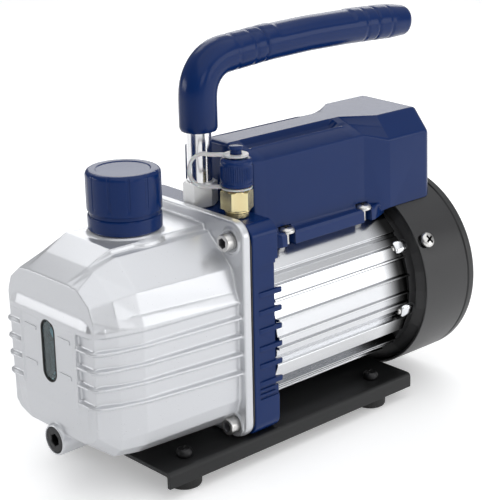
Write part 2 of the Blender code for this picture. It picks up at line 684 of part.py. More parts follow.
def turned_radial(radius, low, high, angle, x):
    """A cylinder that stands out from the shaft line at an angle above the horizontal."""
    direction = (0.0, math.cos(math.radians(angle)), math.sin(math.radians(angle)))
    rod = turned([(radius, low), (radius, high)], "z", (0.0, 0.0), 10)
    return placed(rod, facing(direction, (x, 0.0, SHAFT_Z)))


def fan_cover():
    axis = (0.0, SHAFT_Z)
    inner = COVER_RADIUS - COVER_WALL
    profile = [(inner, COVER_FRONT), (COVER_RADIUS, COVER_FRONT), (COVER_RADIUS, COVER_REAR - 8.0),
               (COVER_RADIUS - 1.2, COVER_REAR - 7.0), (COVER_RADIUS - 1.4, COVER_REAR - 2.0),
               (COVER_RADIUS - 4.0, COVER_REAR), (9.0, COVER_REAR), (9.0, COVER_REAR - COVER_WALL),
               (inner - 3.0, COVER_REAR - COVER_WALL), (inner - 1.6, COVER_REAR - 5.0), (inner, COVER_REAR - 10.0)]
    cover = build("fan_cover", turned(profile, "x", axis, 40, True), "black_cover")
    slots = []
    for step in range(COVER_SLOTS):
        turn = Matrix.Rotation(2.0 * math.pi * (step + 0.5) / COVER_SLOTS, 4, "X")
        slot = block((COVER_REAR - 3.0, COVER_REAR + 2.0), (-2.2, 2.2), (16.0, 44.0))
        slots.append(placed(slot, Matrix.Translation((0.0, 0.0, SHAFT_Z)) @ turn))
    slots += [turned_radial(2.3, 54.0, 64.0, angle, COVER_SCREW_X) for angle in COVER_SCREW_ANGLES]
    combine(cover, slots)
    for number, angle in enumerate(COVER_SCREW_ANGLES, 1):
        direction = Vector((0.0, math.cos(math.radians(angle)), math.sin(math.radians(angle))))
        seat = direction * (COVER_RADIUS + GAP) + Vector((COVER_SCREW_X, 0.0, SHAFT_Z))
        screw = placed(pan_screw(4.4, 2.8, 1.6, 12.0), facing(direction, seat))
        build(f"fan_cover_screw_{number}", screw, "steel")


# ------------------------------------------------------------------ electrical box

def box_section(half_width, shoulder, top_half, foot):
    """Half outline (y, z) of the box: flat top, two-step shoulder and a side with slight draft."""
    return [(top_half, BOX_TOP), (half_width - 3.2, shoulder + 6.0), (half_width, shoulder),
            (half_width + 1.2, foot)]


def arch_foot(y, radius):
    return SHAFT_Z + math.sqrt(radius * radius - y * y)


def box_hollow(outline, x, side_wall):
    """The room inside a section of the box, carried down past the open foot of the walls."""
    points = []
    for y, z in outline:
        lowered = z - BOX_WALL if z > BOX_SKIRT_TOP + 12.0 else z - 6.0
        points.append(Vector((x, math.copysign(abs(y) - side_wall, y), lowered)))
    return points


def electrical_box():
    """A hollow cover that saddles the motor in front and the fan cover behind."""
    narrow = mirrored(box_section(30.0, 170.3, 8.0, arch_foot(30.0, MOTOR_CROWN)))
    wide = mirrored(box_section(33.6, 164.3, 21.8, arch_foot(33.6, COVER_RADIUS)))
    front = [[Vector((x, y, z)) for y, z in narrow] for x in (BOX_FRONT, 117.0)]
    rear = [[Vector((x, y, z)) for y, z in wide] for x in (136.0, BOX_REAR)]
    box = build("electrical_box", loft(front + rear), "blue_gloss")
    loops = [box_hollow(narrow, x, BOX_SCREW_WALL) for x in (BOX_FRONT + BOX_WALL, 118.0)]
    loops += [box_hollow(wide, x, BOX_WALL) for x in (137.0, BOX_REAR - BOX_WALL)]
    combine(box, [loft(loops)])
    clearance = [turned([(MOTOR_CROWN + 0.5, 20.0), (MOTOR_CROWN + 0.5, 140.4)], "x", (0.0, SHAFT_Z), 60),
                 turned([(COVER_RADIUS + 0.5, 140.0), (COVER_RADIUS + 0.5, 190.0)], "x", (0.0, SHAFT_Z), 60)]
    for cutter in clearance:
        combine(box, [cutter])
    skirt = [block((BOX_FRONT + 12.0, 124.0), sorted((side * 29.0, side * 34.0)), (119.3, BOX_SKIRT_TOP))
             for side in (-1.0, 1.0)]
    combine(box, skirt, "UNION")
    holes = [turned([(2.2, 110.0), (2.2, 130.0)], "z", (x, side * y), 8)
             for x, y in BOX_SCREWS for side in (-1.0, 1.0)]
    notches = [turned([(5.4, BOX_SKIRT_TOP), (5.4, BOX_SKIRT_TOP + 5.0)], "z", (x, side * y), 12)
               for x, y in BOX_SCREWS for side in (-1.0, 1.0)]
    combine(box, notches)
    holes.append(block((BOX_REAR - 6.0, BOX_REAR + 3.0), (-24.3, 4.3), (140.0, 160.6)))
    holes.append(block((BOX_REAR - 6.0, BOX_REAR + 3.0), (9.7, 24.3), (139.7, 161.3)))
    combine(box, holes)
    electrical_parts()


def electrical_parts():
    number = 0
    for x, y in BOX_SCREWS:
        for side in (-1.0, 1.0):
            number += 1
            screw = placed(pan_screw(4.6, 3.0, 1.8, 7.0), Matrix.Translation((x, side * y, BOX_SKIRT_TOP + GAP)))
            build(f"box_screw_{number}", screw, "steel")
    capacitor = turned([(14.0, 50.0), (14.8, 51.0), (14.8, 101.0), (14.0, 102.0)], "x", (0.0, 153.0), 20)
    build("run_capacitor", capacitor, "black_cover")
    switch()
    inlet_socket = rounded_rectangle(28.0, 20.0, 3.0, (-10.0, 150.3), 3)
    flange = rounded_rectangle(34.0, 26.0, 3.0, (-10.0, 150.3), 3)
    loops = [[Vector((x, y, z)) for y, z in inlet_socket] for x in (BOX_REAR - 18.0, BOX_REAR + GAP)]
    loops += [[Vector((x, y, z)) for y, z in flange] for x in (BOX_REAR + GAP, BOX_REAR + 2.4)]
    item = build("power_inlet", loft(loops), "black_cover")
    cavity = rounded_rectangle(24.0, 16.0, 2.4, (-10.0, 150.3), 3)
    combine(item, [prism(cavity, "x", BOX_REAR - 12.0, BOX_REAR + 5.0)])


def switch():
    opening = rounded_rectangle(14.0, 21.0, 1.2, (17.0, 150.5), 2)
    bezel = rounded_rectangle(17.6, 24.6, 2.0, (17.0, 150.5), 2)
    loops = [[Vector((x, y, z)) for y, z in opening] for x in (BOX_REAR - 12.0, BOX_REAR + GAP)]
    loops += [[Vector((x, y, z)) for y, z in bezel] for x in (BOX_REAR + GAP, BOX_REAR + 1.8)]
    item = build("switch_frame", loft(loops), "black_cover")
    combine(item, [block((BOX_REAR - 9.0, BOX_REAR + 4.0), (11.6, 22.4), (142.0, 159.0))])
    outline = [(-4.0, -7.4), (2.2, -7.8), (1.0, 0.0), (2.2, 7.8), (-4.0, 7.4)]
    rocker = loft([[Vector((BOX_REAR + x, 17.0 + y, 150.5 + z)) for x, z in outline] for y in (-4.9, 4.9)])
    build("switch_rocker", rocker, "red_switch", (BOX_REAR - 2.0, 17.0, 150.5))


# ------------------------------------------------------------------ base

def base():
    """Bent steel plate: a flat sheet whose two long edges turn down as lips."""
    low = BASE_TOP - BASE_LIP
    half = [(44.0, BASE_TOP), (HALF_WIDTH - 1.2, BASE_TOP), (HALF_WIDTH, BASE_TOP - 1.4), (HALF_WIDTH, low),
            (HALF_WIDTH - BASE_SHEET, low), (HALF_WIDTH - BASE_SHEET, BASE_TOP - BASE_SHEET),
            (44.0, BASE_TOP - BASE_SHEET)]
    outline = half[:-1] + [(-y, z) for y, z in reversed(half[:-1])]
    plate = build("base_plate", prism(outline, "x", BASE_FRONT, BASE_REAR), "black_steel")
    holes = [turned([(2.6, 10.0), (2.6, 20.0)], "z", place, 10) for place in foot_places()]
    combine(plate, holes)
    for number, (x, y) in enumerate(foot_places(), 1):
        top = BASE_TOP - BASE_SHEET - GAP
        profile = [(FOOT_RADIUS - 1.0, 0.0), (FOOT_RADIUS, 2.0), (FOOT_RADIUS, top), (2.6, top), (2.6, 0.0)]
        build(f"rubber_foot_{number}", turned(profile, "z", (x, y), 16, True), "black_rubber")
        screw = placed(pan_screw(4.6, 3.4, 2.1, 15.0), Matrix.Translation((x, y, BASE_TOP + GAP)))
        build(f"foot_screw_{number}", screw, "dark_steel")


def foot_places():
    return [(x, side * FOOT_Y) for x in FOOT_X for side in (-1.0, 1.0)]


def main():
    clear_scene()
    oil_casing()
    casing_fittings()
    drain()
    oil_cap()
    centre_frame()
    inlet()
    handle()
    pump_stage()
    motor()
    fan_cover()
    electrical_box()
    base()


main()
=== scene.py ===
"""Looks for the rotary vane vacuum pump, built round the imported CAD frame.

Shapes are drawn in millimetres from three datums and then placed in the world in metres: x from the
oil casing's joint face, y from the middle of the pump, z from the floor.
"""

import json
import math

import bmesh
import bpy
from mathutils import Matrix, Vector

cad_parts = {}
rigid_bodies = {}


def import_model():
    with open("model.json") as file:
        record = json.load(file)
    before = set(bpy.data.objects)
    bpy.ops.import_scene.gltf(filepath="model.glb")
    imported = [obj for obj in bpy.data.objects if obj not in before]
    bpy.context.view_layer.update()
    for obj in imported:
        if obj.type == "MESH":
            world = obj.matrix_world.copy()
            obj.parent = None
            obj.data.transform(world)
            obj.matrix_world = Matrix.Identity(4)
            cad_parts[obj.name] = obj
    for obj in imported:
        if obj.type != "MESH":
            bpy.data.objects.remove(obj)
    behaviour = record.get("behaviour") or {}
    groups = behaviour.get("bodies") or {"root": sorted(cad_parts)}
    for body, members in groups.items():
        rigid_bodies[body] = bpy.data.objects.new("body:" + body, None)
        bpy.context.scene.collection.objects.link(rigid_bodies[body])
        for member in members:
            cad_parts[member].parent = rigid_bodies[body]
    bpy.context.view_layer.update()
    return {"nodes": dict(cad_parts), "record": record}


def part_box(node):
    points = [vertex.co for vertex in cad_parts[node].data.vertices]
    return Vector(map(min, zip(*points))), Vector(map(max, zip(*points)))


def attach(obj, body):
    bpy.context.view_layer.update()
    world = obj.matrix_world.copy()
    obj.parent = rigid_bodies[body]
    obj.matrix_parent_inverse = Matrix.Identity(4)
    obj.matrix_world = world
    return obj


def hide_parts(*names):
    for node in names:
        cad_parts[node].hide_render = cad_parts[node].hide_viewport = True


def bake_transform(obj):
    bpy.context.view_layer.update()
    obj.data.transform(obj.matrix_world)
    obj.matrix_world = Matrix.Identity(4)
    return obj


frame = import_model()

MM = 0.001
FRAME_FRONT = 6.9
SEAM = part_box("centre_frame")[0].x / MM - FRAME_FRONT
SHAFT_Z = frame["record"]["behaviour"]["joints"][0]["pos_m"][2] / MM
FRAME_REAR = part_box("centre_frame")[1].x / MM - SEAM
FRAME_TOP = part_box("centre_frame")[1].z / MM
FLANGE_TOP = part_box("oil_casing")[1].z / MM
BASE_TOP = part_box("base_plate")[1].z / MM
CAP_LOW = 141.7
CAP_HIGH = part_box("oil_cap")[1].z / MM
HALF_WIDTH = 53
FILL_X = -37.8
HANDLE_X = 15.2
INLET = (15.2, -31.3)
BOLTS = [(y, z) for z in (134.5, 25.1) for y in (-43, 43)]
DRAIN_Z = 32.3
GLASS_Z = 84.5
BODY = "pump_body"
COLOUR_MIX = {"data_type": "RGBA"}
HOUSING_RADIUS = 56.4
BOX_SEAT_RADIUS = 56.9
COVER_RADIUS = 61.5
BOX_FRONT, BOX_REAR = 28, 173
BOX_TOP = 177.8
BOX_SCREW_X = (51, 114)
BOX_SCREW_Y = 32.4
GRIP_LOW = 186.4


# ---- materials

def link(source, output, target, socket):
    source.id_data.links.new(source.outputs[output], target.inputs[socket])


def add(tree, kind, options=(), **values):
    """Add a shader node, set its options and then its inputs by name."""
    node = tree.nodes.new("ShaderNode" + kind)
    for name, value in dict(options).items():
        setattr(node, name, value)
    for name, value in values.items():
        node.inputs[name.replace("_", " ")].default_value = value
    return node


def surface(name, colour, roughness, metallic=0, grain=1500, depth=0.03, mottle=0.06, stretch=(1, 1, 1),
            wear=0, coat=0, transmission=0, broad=40, subsurface=0, specular=0.5):
    """Principled surface with mottled colour, uneven roughness, fine bump and paler worn edges."""
    material = bpy.data.materials.new(name)
    material.use_nodes = True
    tree = material.node_tree
    shader = tree.nodes["Principled BSDF"]
    place = add(tree, "TexCoord")
    scale = add(tree, "Mapping", Scale=stretch)
    link(place, "Object", scale, "Vector")
    fine = add(tree, "TexNoise", Scale=grain, Detail=3)
    wide = add(tree, "TexNoise", Scale=broad, Detail=4)
    for noise in (fine, wide):
        link(scale, "Vector", noise, "Vector")
    dark = tuple(c * (1 - mottle) for c in colour)
    light = tuple(min(1, c * (1 + mottle)) for c in colour)
    tint = add(tree, "Mix", COLOUR_MIX, A=(*dark, 1), B=(*light, 1))
    link(wide, "Fac", tint, "Factor")
    if wear > 0:
        geometry = add(tree, "NewGeometry")
        edge = add(tree, "MapRange", From_Min=0.52, From_Max=0.62, To_Max=wear)
        link(geometry, "Pointiness", edge, "Value")
        worn = add(tree, "Mix", COLOUR_MIX, B=tuple(min(1, c * 1.6 + 0.05) for c in colour) + (1,))
        link(edge, "Result", worn, "Factor")
        link(tint, "Result", worn, "A")
        tint = worn
    link(tint, "Result", shader, "Base Color")
    gloss = add(tree, "MapRange", To_Min=roughness * 0.85, To_Max=roughness * 1.2)
    link(fine, "Fac", gloss, "Value")
    link(gloss, "Result", shader, "Roughness")
    bump = add(tree, "Bump", Strength=depth, Distance=0.0005)
    link(fine, "Fac", bump, "Height")
    link(bump, "Normal", shader, "Normal")
    for socket, value in (("Metallic", metallic), ("Specular IOR Level", specular), ("Coat Weight", coat),
                          ("Coat Roughness", 0.08), ("Transmission Weight", transmission),
                          ("Subsurface Weight", subsurface), ("Subsurface Scale", 0.002)):
        shader.inputs[socket].default_value = value
    return material


CAST = surface("cast_aluminium", (0.63, 0.64, 0.662), 0.29, 0.6, 1800, 0.012, 0.02, wear=0.1, broad=25)
EXTRUDED = surface("extruded_aluminium", (0.74, 0.75, 0.77), 0.17, 1, 900, 0.012, 0.04, (0.02, 1, 1), wear=0.2)
# copy of the extruded finish for the housing, whose rear end gets a painted reflection and shade of the fan cover
HOUSING_WITH_COVER_REFLECTION = surface("extruded_housing_painted_reflection", (0.70, 0.71, 0.73), 0.2, 1, 900, 0.012, 0.04, (0.02, 1, 1), wear=0.2)
MACHINED = surface("machined_steel", (0.56, 0.56, 0.57), 0.28, 1, 1200, 0.1, 0.08)
ZINC = surface("zinc_steel", (0.64, 0.63, 0.61), 0.3, 1, 1500, 0.06, 0.06, wear=0.3)
SATIN = surface("satin_nickel", (0.84, 0.84, 0.83), 0.4, 0.7, 1500, 0.1, 0.05, wear=0.3)
CHROME = surface("chrome", (0.9, 0.9, 0.91), 0.17, 1, 400, 0.01, 0.02)
BRASS = surface("brass", (0.82, 0.69, 0.38), 0.24, 1, 1500, 0.02, 0.03, wear=0.3)
BLUE = surface("blue_gloss", (0.0022, 0.0195, 0.101), 0.2, grain=350, depth=0.006, mottle=0.04, wear=0.12,
               specular=0.22)
BLUE_PLASTIC = surface("blue_plastic", (0.0022, 0.0195, 0.101), 0.2, grain=1600, depth=0.015, mottle=0.04,
                       wear=0.12, specular=0.22)
COVER = surface("black_cover", (0.019, 0.019, 0.020), 0.38, 0, 1900, 0.14, 0.12, wear=0.3)
STEEL_BLACK = surface("black_powder_coat", (0.007, 0.0073, 0.0078), 0.34, 0, 1300, 0.06, 0.12, wear=0.3,
                      specular=0.3)
RUBBER = surface("black_rubber", (0.014, 0.014, 0.014), 0.7, 0, 1400, 0.2, 0.15, wear=0.2)
OXIDE = surface("black_oxide", (0.022, 0.022, 0.023), 0.3, 0.8, 1500, 0.08, 0.12, wear=0.4)
IRON = surface("cast_iron", (0.17, 0.17, 0.18), 0.55, 0.8, 1200, 0.3, 0.15)
COPPER = surface("copper_wire", (0.55, 0.22, 0.09), 0.35, 0.9, 900, 0.4, 0.2, (4, 1, 1))
SHEETS = surface("lamination", (0.25, 0.26, 0.28), 0.45, 0.85, 900, 0.4, 0.12, (3, 0.1, 0.1))
PAPER = surface("gasket_paper", (0.05, 0.048, 0.045), 0.9, 0, 1800, 0.3, 0.2)
STRAP = surface("clear_strap", (0.80, 0.80, 0.80), 0.3, 0, 900, 0.03, 0.03, transmission=0.45, subsurface=0.2)
VANE = surface("vane_composite", (0.08, 0.06, 0.045), 0.6, 0, 1400, 0.2, 0.2)
FOAM = surface("filter_foam", (0.45, 0.43, 0.34), 0.95, 0, 1500, 0.8, 0.2)
RED = surface("red_switch", (0.42, 0.015, 0.015), 0.3, 0, 1200, 0.04, 0.05, wear=0.2, coat=0.3)
# near-black back plate in the sight glass: painted shade for the inside of the casing
CHAMBER_SHADE = surface("sight_chamber_painted_shade", (0.004, 0.012, 0.016), 0.25, 0, 900, 0.06, 0.3, broad=120)
CLEAR = surface("sight_glass", (0.42, 0.66, 0.72), 0.03, 0, 300, 0.005, 0.02, transmission=1, specular=0.35)
FLOAT = surface("sight_float", (0.30, 0.50, 0.56), 0.3, 0, 900, 0.05, 0.1)
PALE = surface("floor_paint", (0.93, 0.93, 0.93), 0.6, 0, 60, 0.02, 0.01)

CAD_FINISH = {
    PAPER: ["casing_gasket"],
    FOAM: ["mist_filter"],
    RUBBER: ["oil_cap_seal", "inlet_cap_seal", "drain_plug_seal", "shaft_seal"],
    IRON: ["pump_cylinder", "pump_front_plate"],
    MACHINED: ["pump_rotor", "discharge_reed", "motor_shaft", "front_bearing", "rear_bearing"],
    VANE: ["vane_a", "vane_b"],
    SHEETS: ["stator_core", "rotor_core"],
    COPPER: ["stator_winding_front", "stator_winding_rear"],
    COVER: ["rear_end_shield", "cooling_fan", "run_capacitor"],
}


# ---- outlines and solids

def on_axis(axis, u, v, h):
    """A point h along the axis, at (u, v) on the other two axes in x, y, z order."""
    return Vector({"x": (h, u, v), "y": (u, h, v), "z": (u, v, h)}[axis])


def circle(radius, segments=48, centre=(0, 0), start=0):
    turn = 2 * math.pi / segments
    return [(centre[0] + radius * math.cos(start + turn * i), centre[1] + radius * math.sin(start + turn * i))
            for i in range(segments)]


def hexagon(apothem, segments, centre=(0, 0)):
    """A hexagon drawn with the same number of points as a circle."""
    points = []
    for i in range(segments):
        angle = 2 * math.pi * i / segments
        nearest = (angle + math.pi / 6) % (math.pi / 3) - math.pi / 6
        reach = apothem / math.cos(nearest)
        points.append((centre[0] + reach * math.cos(angle), centre[1] + reach * math.sin(angle)))
    return points


def rounded(width, height, radius, centre=(0, 0), steps=8):
    points = []
    for index, (side_u, side_v) in enumerate(((1, 1), (-1, 1), (-1, -1), (1, -1))):
        for step in range(steps + 1):
            angle = math.radians(90 * (index + step / steps))
            points.append((centre[0] + side_u * (width / 2 - radius) + radius * math.cos(angle),
                           centre[1] + side_v * (height / 2 - radius) + radius * math.sin(angle)))
    return points


def rings(profile, axis, centre, segments=64, outline=circle):
    """Loops for a loft: one outline of the given size and height for each point of the profile."""
    return [[on_axis(axis, u, v, h) for u, v in outline(r, segments, centre=centre)] for r, h in profile]


def plates(rows, centre, steps=8):
    """Loops for a loft: one rounded rectangle for each (x, width, height, corner radius)."""
    return [[Vector((x, u, v)) for u, v in rounded(w, h, r, centre, steps)] for x, w, h, r in rows]


def both_sides(half):
    return list(half) + [(-u, v) for u, v in reversed(half)]


def loft(loops, ring=False):
    """Skin a row of loops; the ends are capped, or joined to each other when ring is set."""
    shape = bmesh.new()
    rows = [[shape.verts.new(point) for point in loop] for loop in loops]
    pairs = list(zip(rows, rows[1:])) + ([(rows[-1], rows[0])] if ring else [])
    for first, second in pairs:
        for i in range(len(first)):
            j = (i + 1) % len(first)
            shape.faces.new((first[i], first[j], second[j], second[i]))
    if not ring:
        shape.faces.new(rows[0])
        shape.faces.new(rows[-1])
    bmesh.ops.recalc_face_normals(shape, faces=shape.faces)
    return shape


def prism(outline, axis, low, high):
    return loft([[on_axis(axis, u, v, h) for u, v in outline] for h in (low, high)])


def turned(profile, axis, centre, segments=64, ring=False):
    """Revolve (radius, height) points about an axis through centre."""
    return loft(rings(profile, axis, centre, segments), ring)


def block(x_range, y_range, z_range):
    y_range = sorted(y_range)
    outline = [(x_range[0], y_range[0]), (x_range[1], y_range[0]), (x_range[1], y_range[1]), (x_range[0], y_range[1])]
    return prism(outline, "z", *z_range)


def eased(shape, width, segments=2, angle=28):
    """Round every edge that turns by more than the angle."""
    limit = math.radians(angle)
    edges = [e for e in shape.edges if len(e.link_faces) == 2 and e.calc_face_angle(0) > limit]
    bmesh.ops.bevel(shape, geom=edges, offset=width, segments=segments, profile=0.5, affect="EDGES",
                    clamp_overlap=True)
    return shape


def placed(shape, matrix):
    bmesh.ops.transform(shape, matrix=matrix, verts=shape.verts)
    return shape


def facing(direction, position):
    return Matrix.Translation(position) @ Vector(direction).to_track_quat("Z", "Y").to_matrix().to_4x4()


def merged(shapes):
    whole = bmesh.new()
    for shape in shapes:
        mesh = bpy.data.meshes.new("part")
        shape.to_mesh(mesh)
        shape.free()
        whole.from_mesh(mesh)
        bpy.data.meshes.remove(mesh)
    return whole


# ---- pieces

def linked(name, data):
    item = bpy.data.objects.new(name, data)
    bpy.context.scene.collection.objects.link(item)
    return item


def meshed(name, shape):
    """Turn a shape in millimetres into a mesh in world metres."""
    mesh = bpy.data.meshes.new(name)
    shape.to_mesh(mesh)
    shape.free()
    mesh.transform(Matrix.Translation((SEAM * MM, 0, 0)) @ Matrix.Scale(MM, 4))
    return mesh


def piece(name, shape, material, slot, body=BODY, stands_for=(), smooth=34, recess=None):
    """Make a named piece that rides on a body; recess colours a screw's driver socket darker, as painted shade."""
    item = linked(name, meshed(name, shape))
    item.data.materials.append(material)
    if recess:
        item.data.materials.append(recess)
    shade(item, smooth)
    if body:
        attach(item, body)
    if stands_for:
        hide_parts(*stands_for)
    return item


def detail(node, shape, material, slot, body=BODY, **looks):
    """A piece that stands for one CAD node."""
    return piece(node + "_detail", shape, material, slot, body, [node], **looks)


def shade(item, angle):
    item.data.shade_smooth()
    item.data.set_sharp_from_angle(angle=math.radians(angle))


def weigh_normals():
    """Let the large faces set the shading, so that narrow bends beside them stay narrow."""
    for item in bpy.context.scene.objects:
        if item.type == "MESH" and item.name.endswith("_detail"):
            modifier = item.modifiers.new("normals", "WEIGHTED_NORMAL")
            modifier.keep_sharp = True


def settle(item, angle=34):
    """Apply an item's modifiers to its mesh."""
    bpy.context.view_layer.update()
    graph = bpy.context.evaluated_depsgraph_get()
    mesh = bpy.data.meshes.new_from_object(item.evaluated_get(graph))
    item.modifiers.clear()
    old = item.data
    item.data = mesh
    bpy.data.meshes.remove(old)
    shade(item, angle)


def carve(item, shapes, operation="DIFFERENCE", angle=34, overlapping=False):
    """Cut shapes from an item, or add them to it, one Boolean for them all."""
    mesh = meshed("tool", merged(shapes))
    tool = linked("tool", mesh)
    modifier = item.modifiers.new("cut", "BOOLEAN")
    modifier.operation = operation
    modifier.solver = "EXACT"
    modifier.use_self = overlapping
    modifier.object = tool
    settle(item, angle)
    bpy.data.objects.remove(tool, do_unlink=True)
    bpy.data.meshes.remove(mesh)


def fuse(item, voxel, smoothing):
    """Melt overlapping shapes into one skin with soft corners, like a casting."""
    skin = item.modifiers.new("skin", "REMESH")
    skin.mode = "VOXEL"
    skin.voxel_size = voxel * MM
    soften = item.modifiers.new("soften", "SMOOTH")
    soften.factor = 0.5
    soften.iterations = smoothing
    settle(item, 60)


# ---- fasteners

def socket_head(radius, height, shank, length):
    """Socket-head screw along +Z with a hexagon socket and a knurled rim."""
    count = 48
    rim = [(radius * (1 if i % 2 else 0.985)) for i in range(count)]

    def loop(scale, h, knurled=False):
        points = circle(1, count)
        return [Vector((u * (rim[i] if knurled else radius) * scale, v * (rim[i] if knurled else radius) * scale, h))
                for i, (u, v) in enumerate(points)]
    loops = [loop(shank / radius, -length), loop(shank / radius, 0), loop(0.96, 0), loop(1, 0.4, True),
             loop(1, height - 0.9, True), loop(0.97, height - 0.4), loop(0.88, height)]
    socket = radius * 0.5
    loops += [[Vector((u, v, h)) for u, v in hexagon(s, count)] for s, h in
              ((socket + 0.25, height), (socket, height - 0.3), (socket, height * 0.3))]
    return socketed(loft(loops), 2)


def socketed(shape, rows):
    """Mark the last rows of a screw's faces, and its final cap, as the driver socket, which gets a darker material as
    painted shade.
    """
    shape.faces.ensure_lookup_table()
    count = len(shape.faces[-1].verts)
    for face in shape.faces[-rows * count - 2:-2]:
        face.material_index = 1
    shape.faces[-1].material_index = 1
    return shape


def cross_head(radius, height, shank, length):
    """Domed cross-head screw along +Z; the recess is four tapered wings."""
    count = 48
    profile = [(shank, -length), (shank, 0), (radius * 0.96, 0), (radius, height * 0.12),
               (radius * 0.99, height * 0.4), (radius * 0.9, height * 0.7), (radius * 0.72, height * 0.9)]
    loops = [[Vector((u, v, h)) for u, v in circle(r, count)] for r, h in profile]

    def wings(reach, h):
        loop = []
        for i in range(count):
            angle = 2 * math.pi * i / count
            away = abs((angle + math.pi / 4) % (math.pi / 2) - math.pi / 4)
            r = min(reach, 0.15 * radius / max(math.sin(away), 1e-3)) if away > 0.05 else reach
            loop.append(Vector((r * math.cos(angle), r * math.sin(angle), h)))
        return loop
    loops.append(wings(radius * 0.62, height * 0.97))
    loops.append(wings(radius * 0.58, height * 0.88))
    loops.append(wings(radius * 0.34, height * 0.15))
    return socketed(loft(loops), 2)


def spot(name):
    """Middle x, y, z and top of a CAD node in the script's millimetres."""
    low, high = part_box(name)
    middle = (low + high) / 2 / MM
    return middle.x - SEAM, middle.y, middle.z, high.z / MM


def cover_screw(number, reach):
    """Direction of a fan cover screw, and the point on its line that far from the shaft."""
    x, y, z, _ = spot(f"fan_cover_screw_{number}")
    out = Vector((0, y, z - SHAFT_Z)).normalized()
    return out, Vector((x, 0, SHAFT_Z)) + out * reach


def screws():
    for number, (y, z) in enumerate(BOLTS, 1):
        name = f"casing_screw_{number}"
        shape = placed(socket_head(5, 6, 2.9, 20), facing((-1, 0, 0), (-0.3, y, z)))
        # the driver socket is painted in darker cast iron as shade
        detail(name, shape, ZINC, "zinc_steel", recess=IRON)
    for number in range(1, 4):
        name = f"fan_cover_screw_{number}"
        out, seat = cover_screw(number, COVER_RADIUS + 0.3)
        shape = placed(cross_head(4.9, 3, 1.6, 12), facing(out, seat) @ Matrix.Rotation(0.5, 4, "Z"))
        # the driver socket is painted black oxide as shade
        detail(name, shape, ZINC, "zinc_steel", recess=OXIDE)
    # the last entry of each look paints the driver socket darker, as painted shade
    for kind, sizes, sunk, turn, looks in (
            ("box_screw", (5, 3.1, 1.8, 7), 3, 0.7, (ZINC, "zinc_steel", OXIDE)),
            ("foot_screw", (4.8, 4.6, 2.1, 15), 3.4, 0.5, (OXIDE, "dark_steel", RUBBER))):
        material, slot, recess = looks
        for number in range(1, 5):
            name = f"{kind}_{number}"
            x, y, _, top = spot(name)
            seat = Matrix.Translation((x, y, top - sunk)) @ Matrix.Rotation(turn, 4, "Z")
            shape = placed(cross_head(*sizes), seat)
            detail(name, shape, material, slot, recess=recess)


# ---- oil casing

CASE_SECTIONS = (
    (3, ((20.6, 139.5), (21.4, 136.2), (25.2, 135.6), (43.4, 119), (47.2, 105.5), (49.5, 100.4), (48.6, 98),
           (48.4, 42), (46, 34), (38, 25.5))),
    (-63, ((20.2, 139.5), (21.2, 136.6), (24.6, 136), (41, 120.5), (44.4, 107.5), (46.6, 103), (45.6, 100),
             (45.3, 42), (43, 34), (36, 27.5))),
    (-77, ((18.6, 132.6), (20.6, 131.8), (23.4, 130.8), (38.8, 119.3), (41.6, 109.8), (43.4, 105), (42.4, 102),
             (41.8, 41), (39.8, 34.5), (33.5, 28.8))),
    (-89.4, ((15.2, 125.4), (20, 125.2), (26.4, 124.4), (35, 117.5), (37.8, 110.4), (38.4, 106), (38, 103),
             (37.2, 45), (33, 41), (24, 38))),
)
TIP_LINE = ((4, 51.6), (-30, 49.8), (-63, 47.4), (-80, 43.9), (-86, 42.2), (-89.3, 40.4), (-91.2, 37.6),
            (-91.9, 34.4), (-91.9, 29), (-91.9, 24.6))
BAND_LINE = ((4, 49.7), (-63, 46.8), (-77, 43.7), (-84, 41.6), (-88.6, 38.6), (-91, 34.6), (-91.7, 29),
             (-91.7, 0))
RIBS = ((91.3, 92.7), (80.5, 82.6), (69.5, 72.6), (58.2, 62))


def wrap(path, profile, side):
    """Sweep (depth, z_rear, z_front) points along a plan path; depth is measured inward."""
    loops = []
    for i, (x, y) in enumerate(path):
        before = Vector(path[max(i - 1, 0)])
        after = Vector(path[min(i + 1, len(path) - 1)])
        along = (after - before).normalized()
        inward = Vector((-along.y, along.x))
        share = min(max(-x / 91, 0), 1)
        loop = []
        for depth, z_rear, z_front in profile:
            point = Vector((x, y)) + inward * depth
            loop.append(Vector((point.x, side * point.y, z_rear + (z_front - z_rear) * share)))
        loops.append(loop)
    return loft(loops)


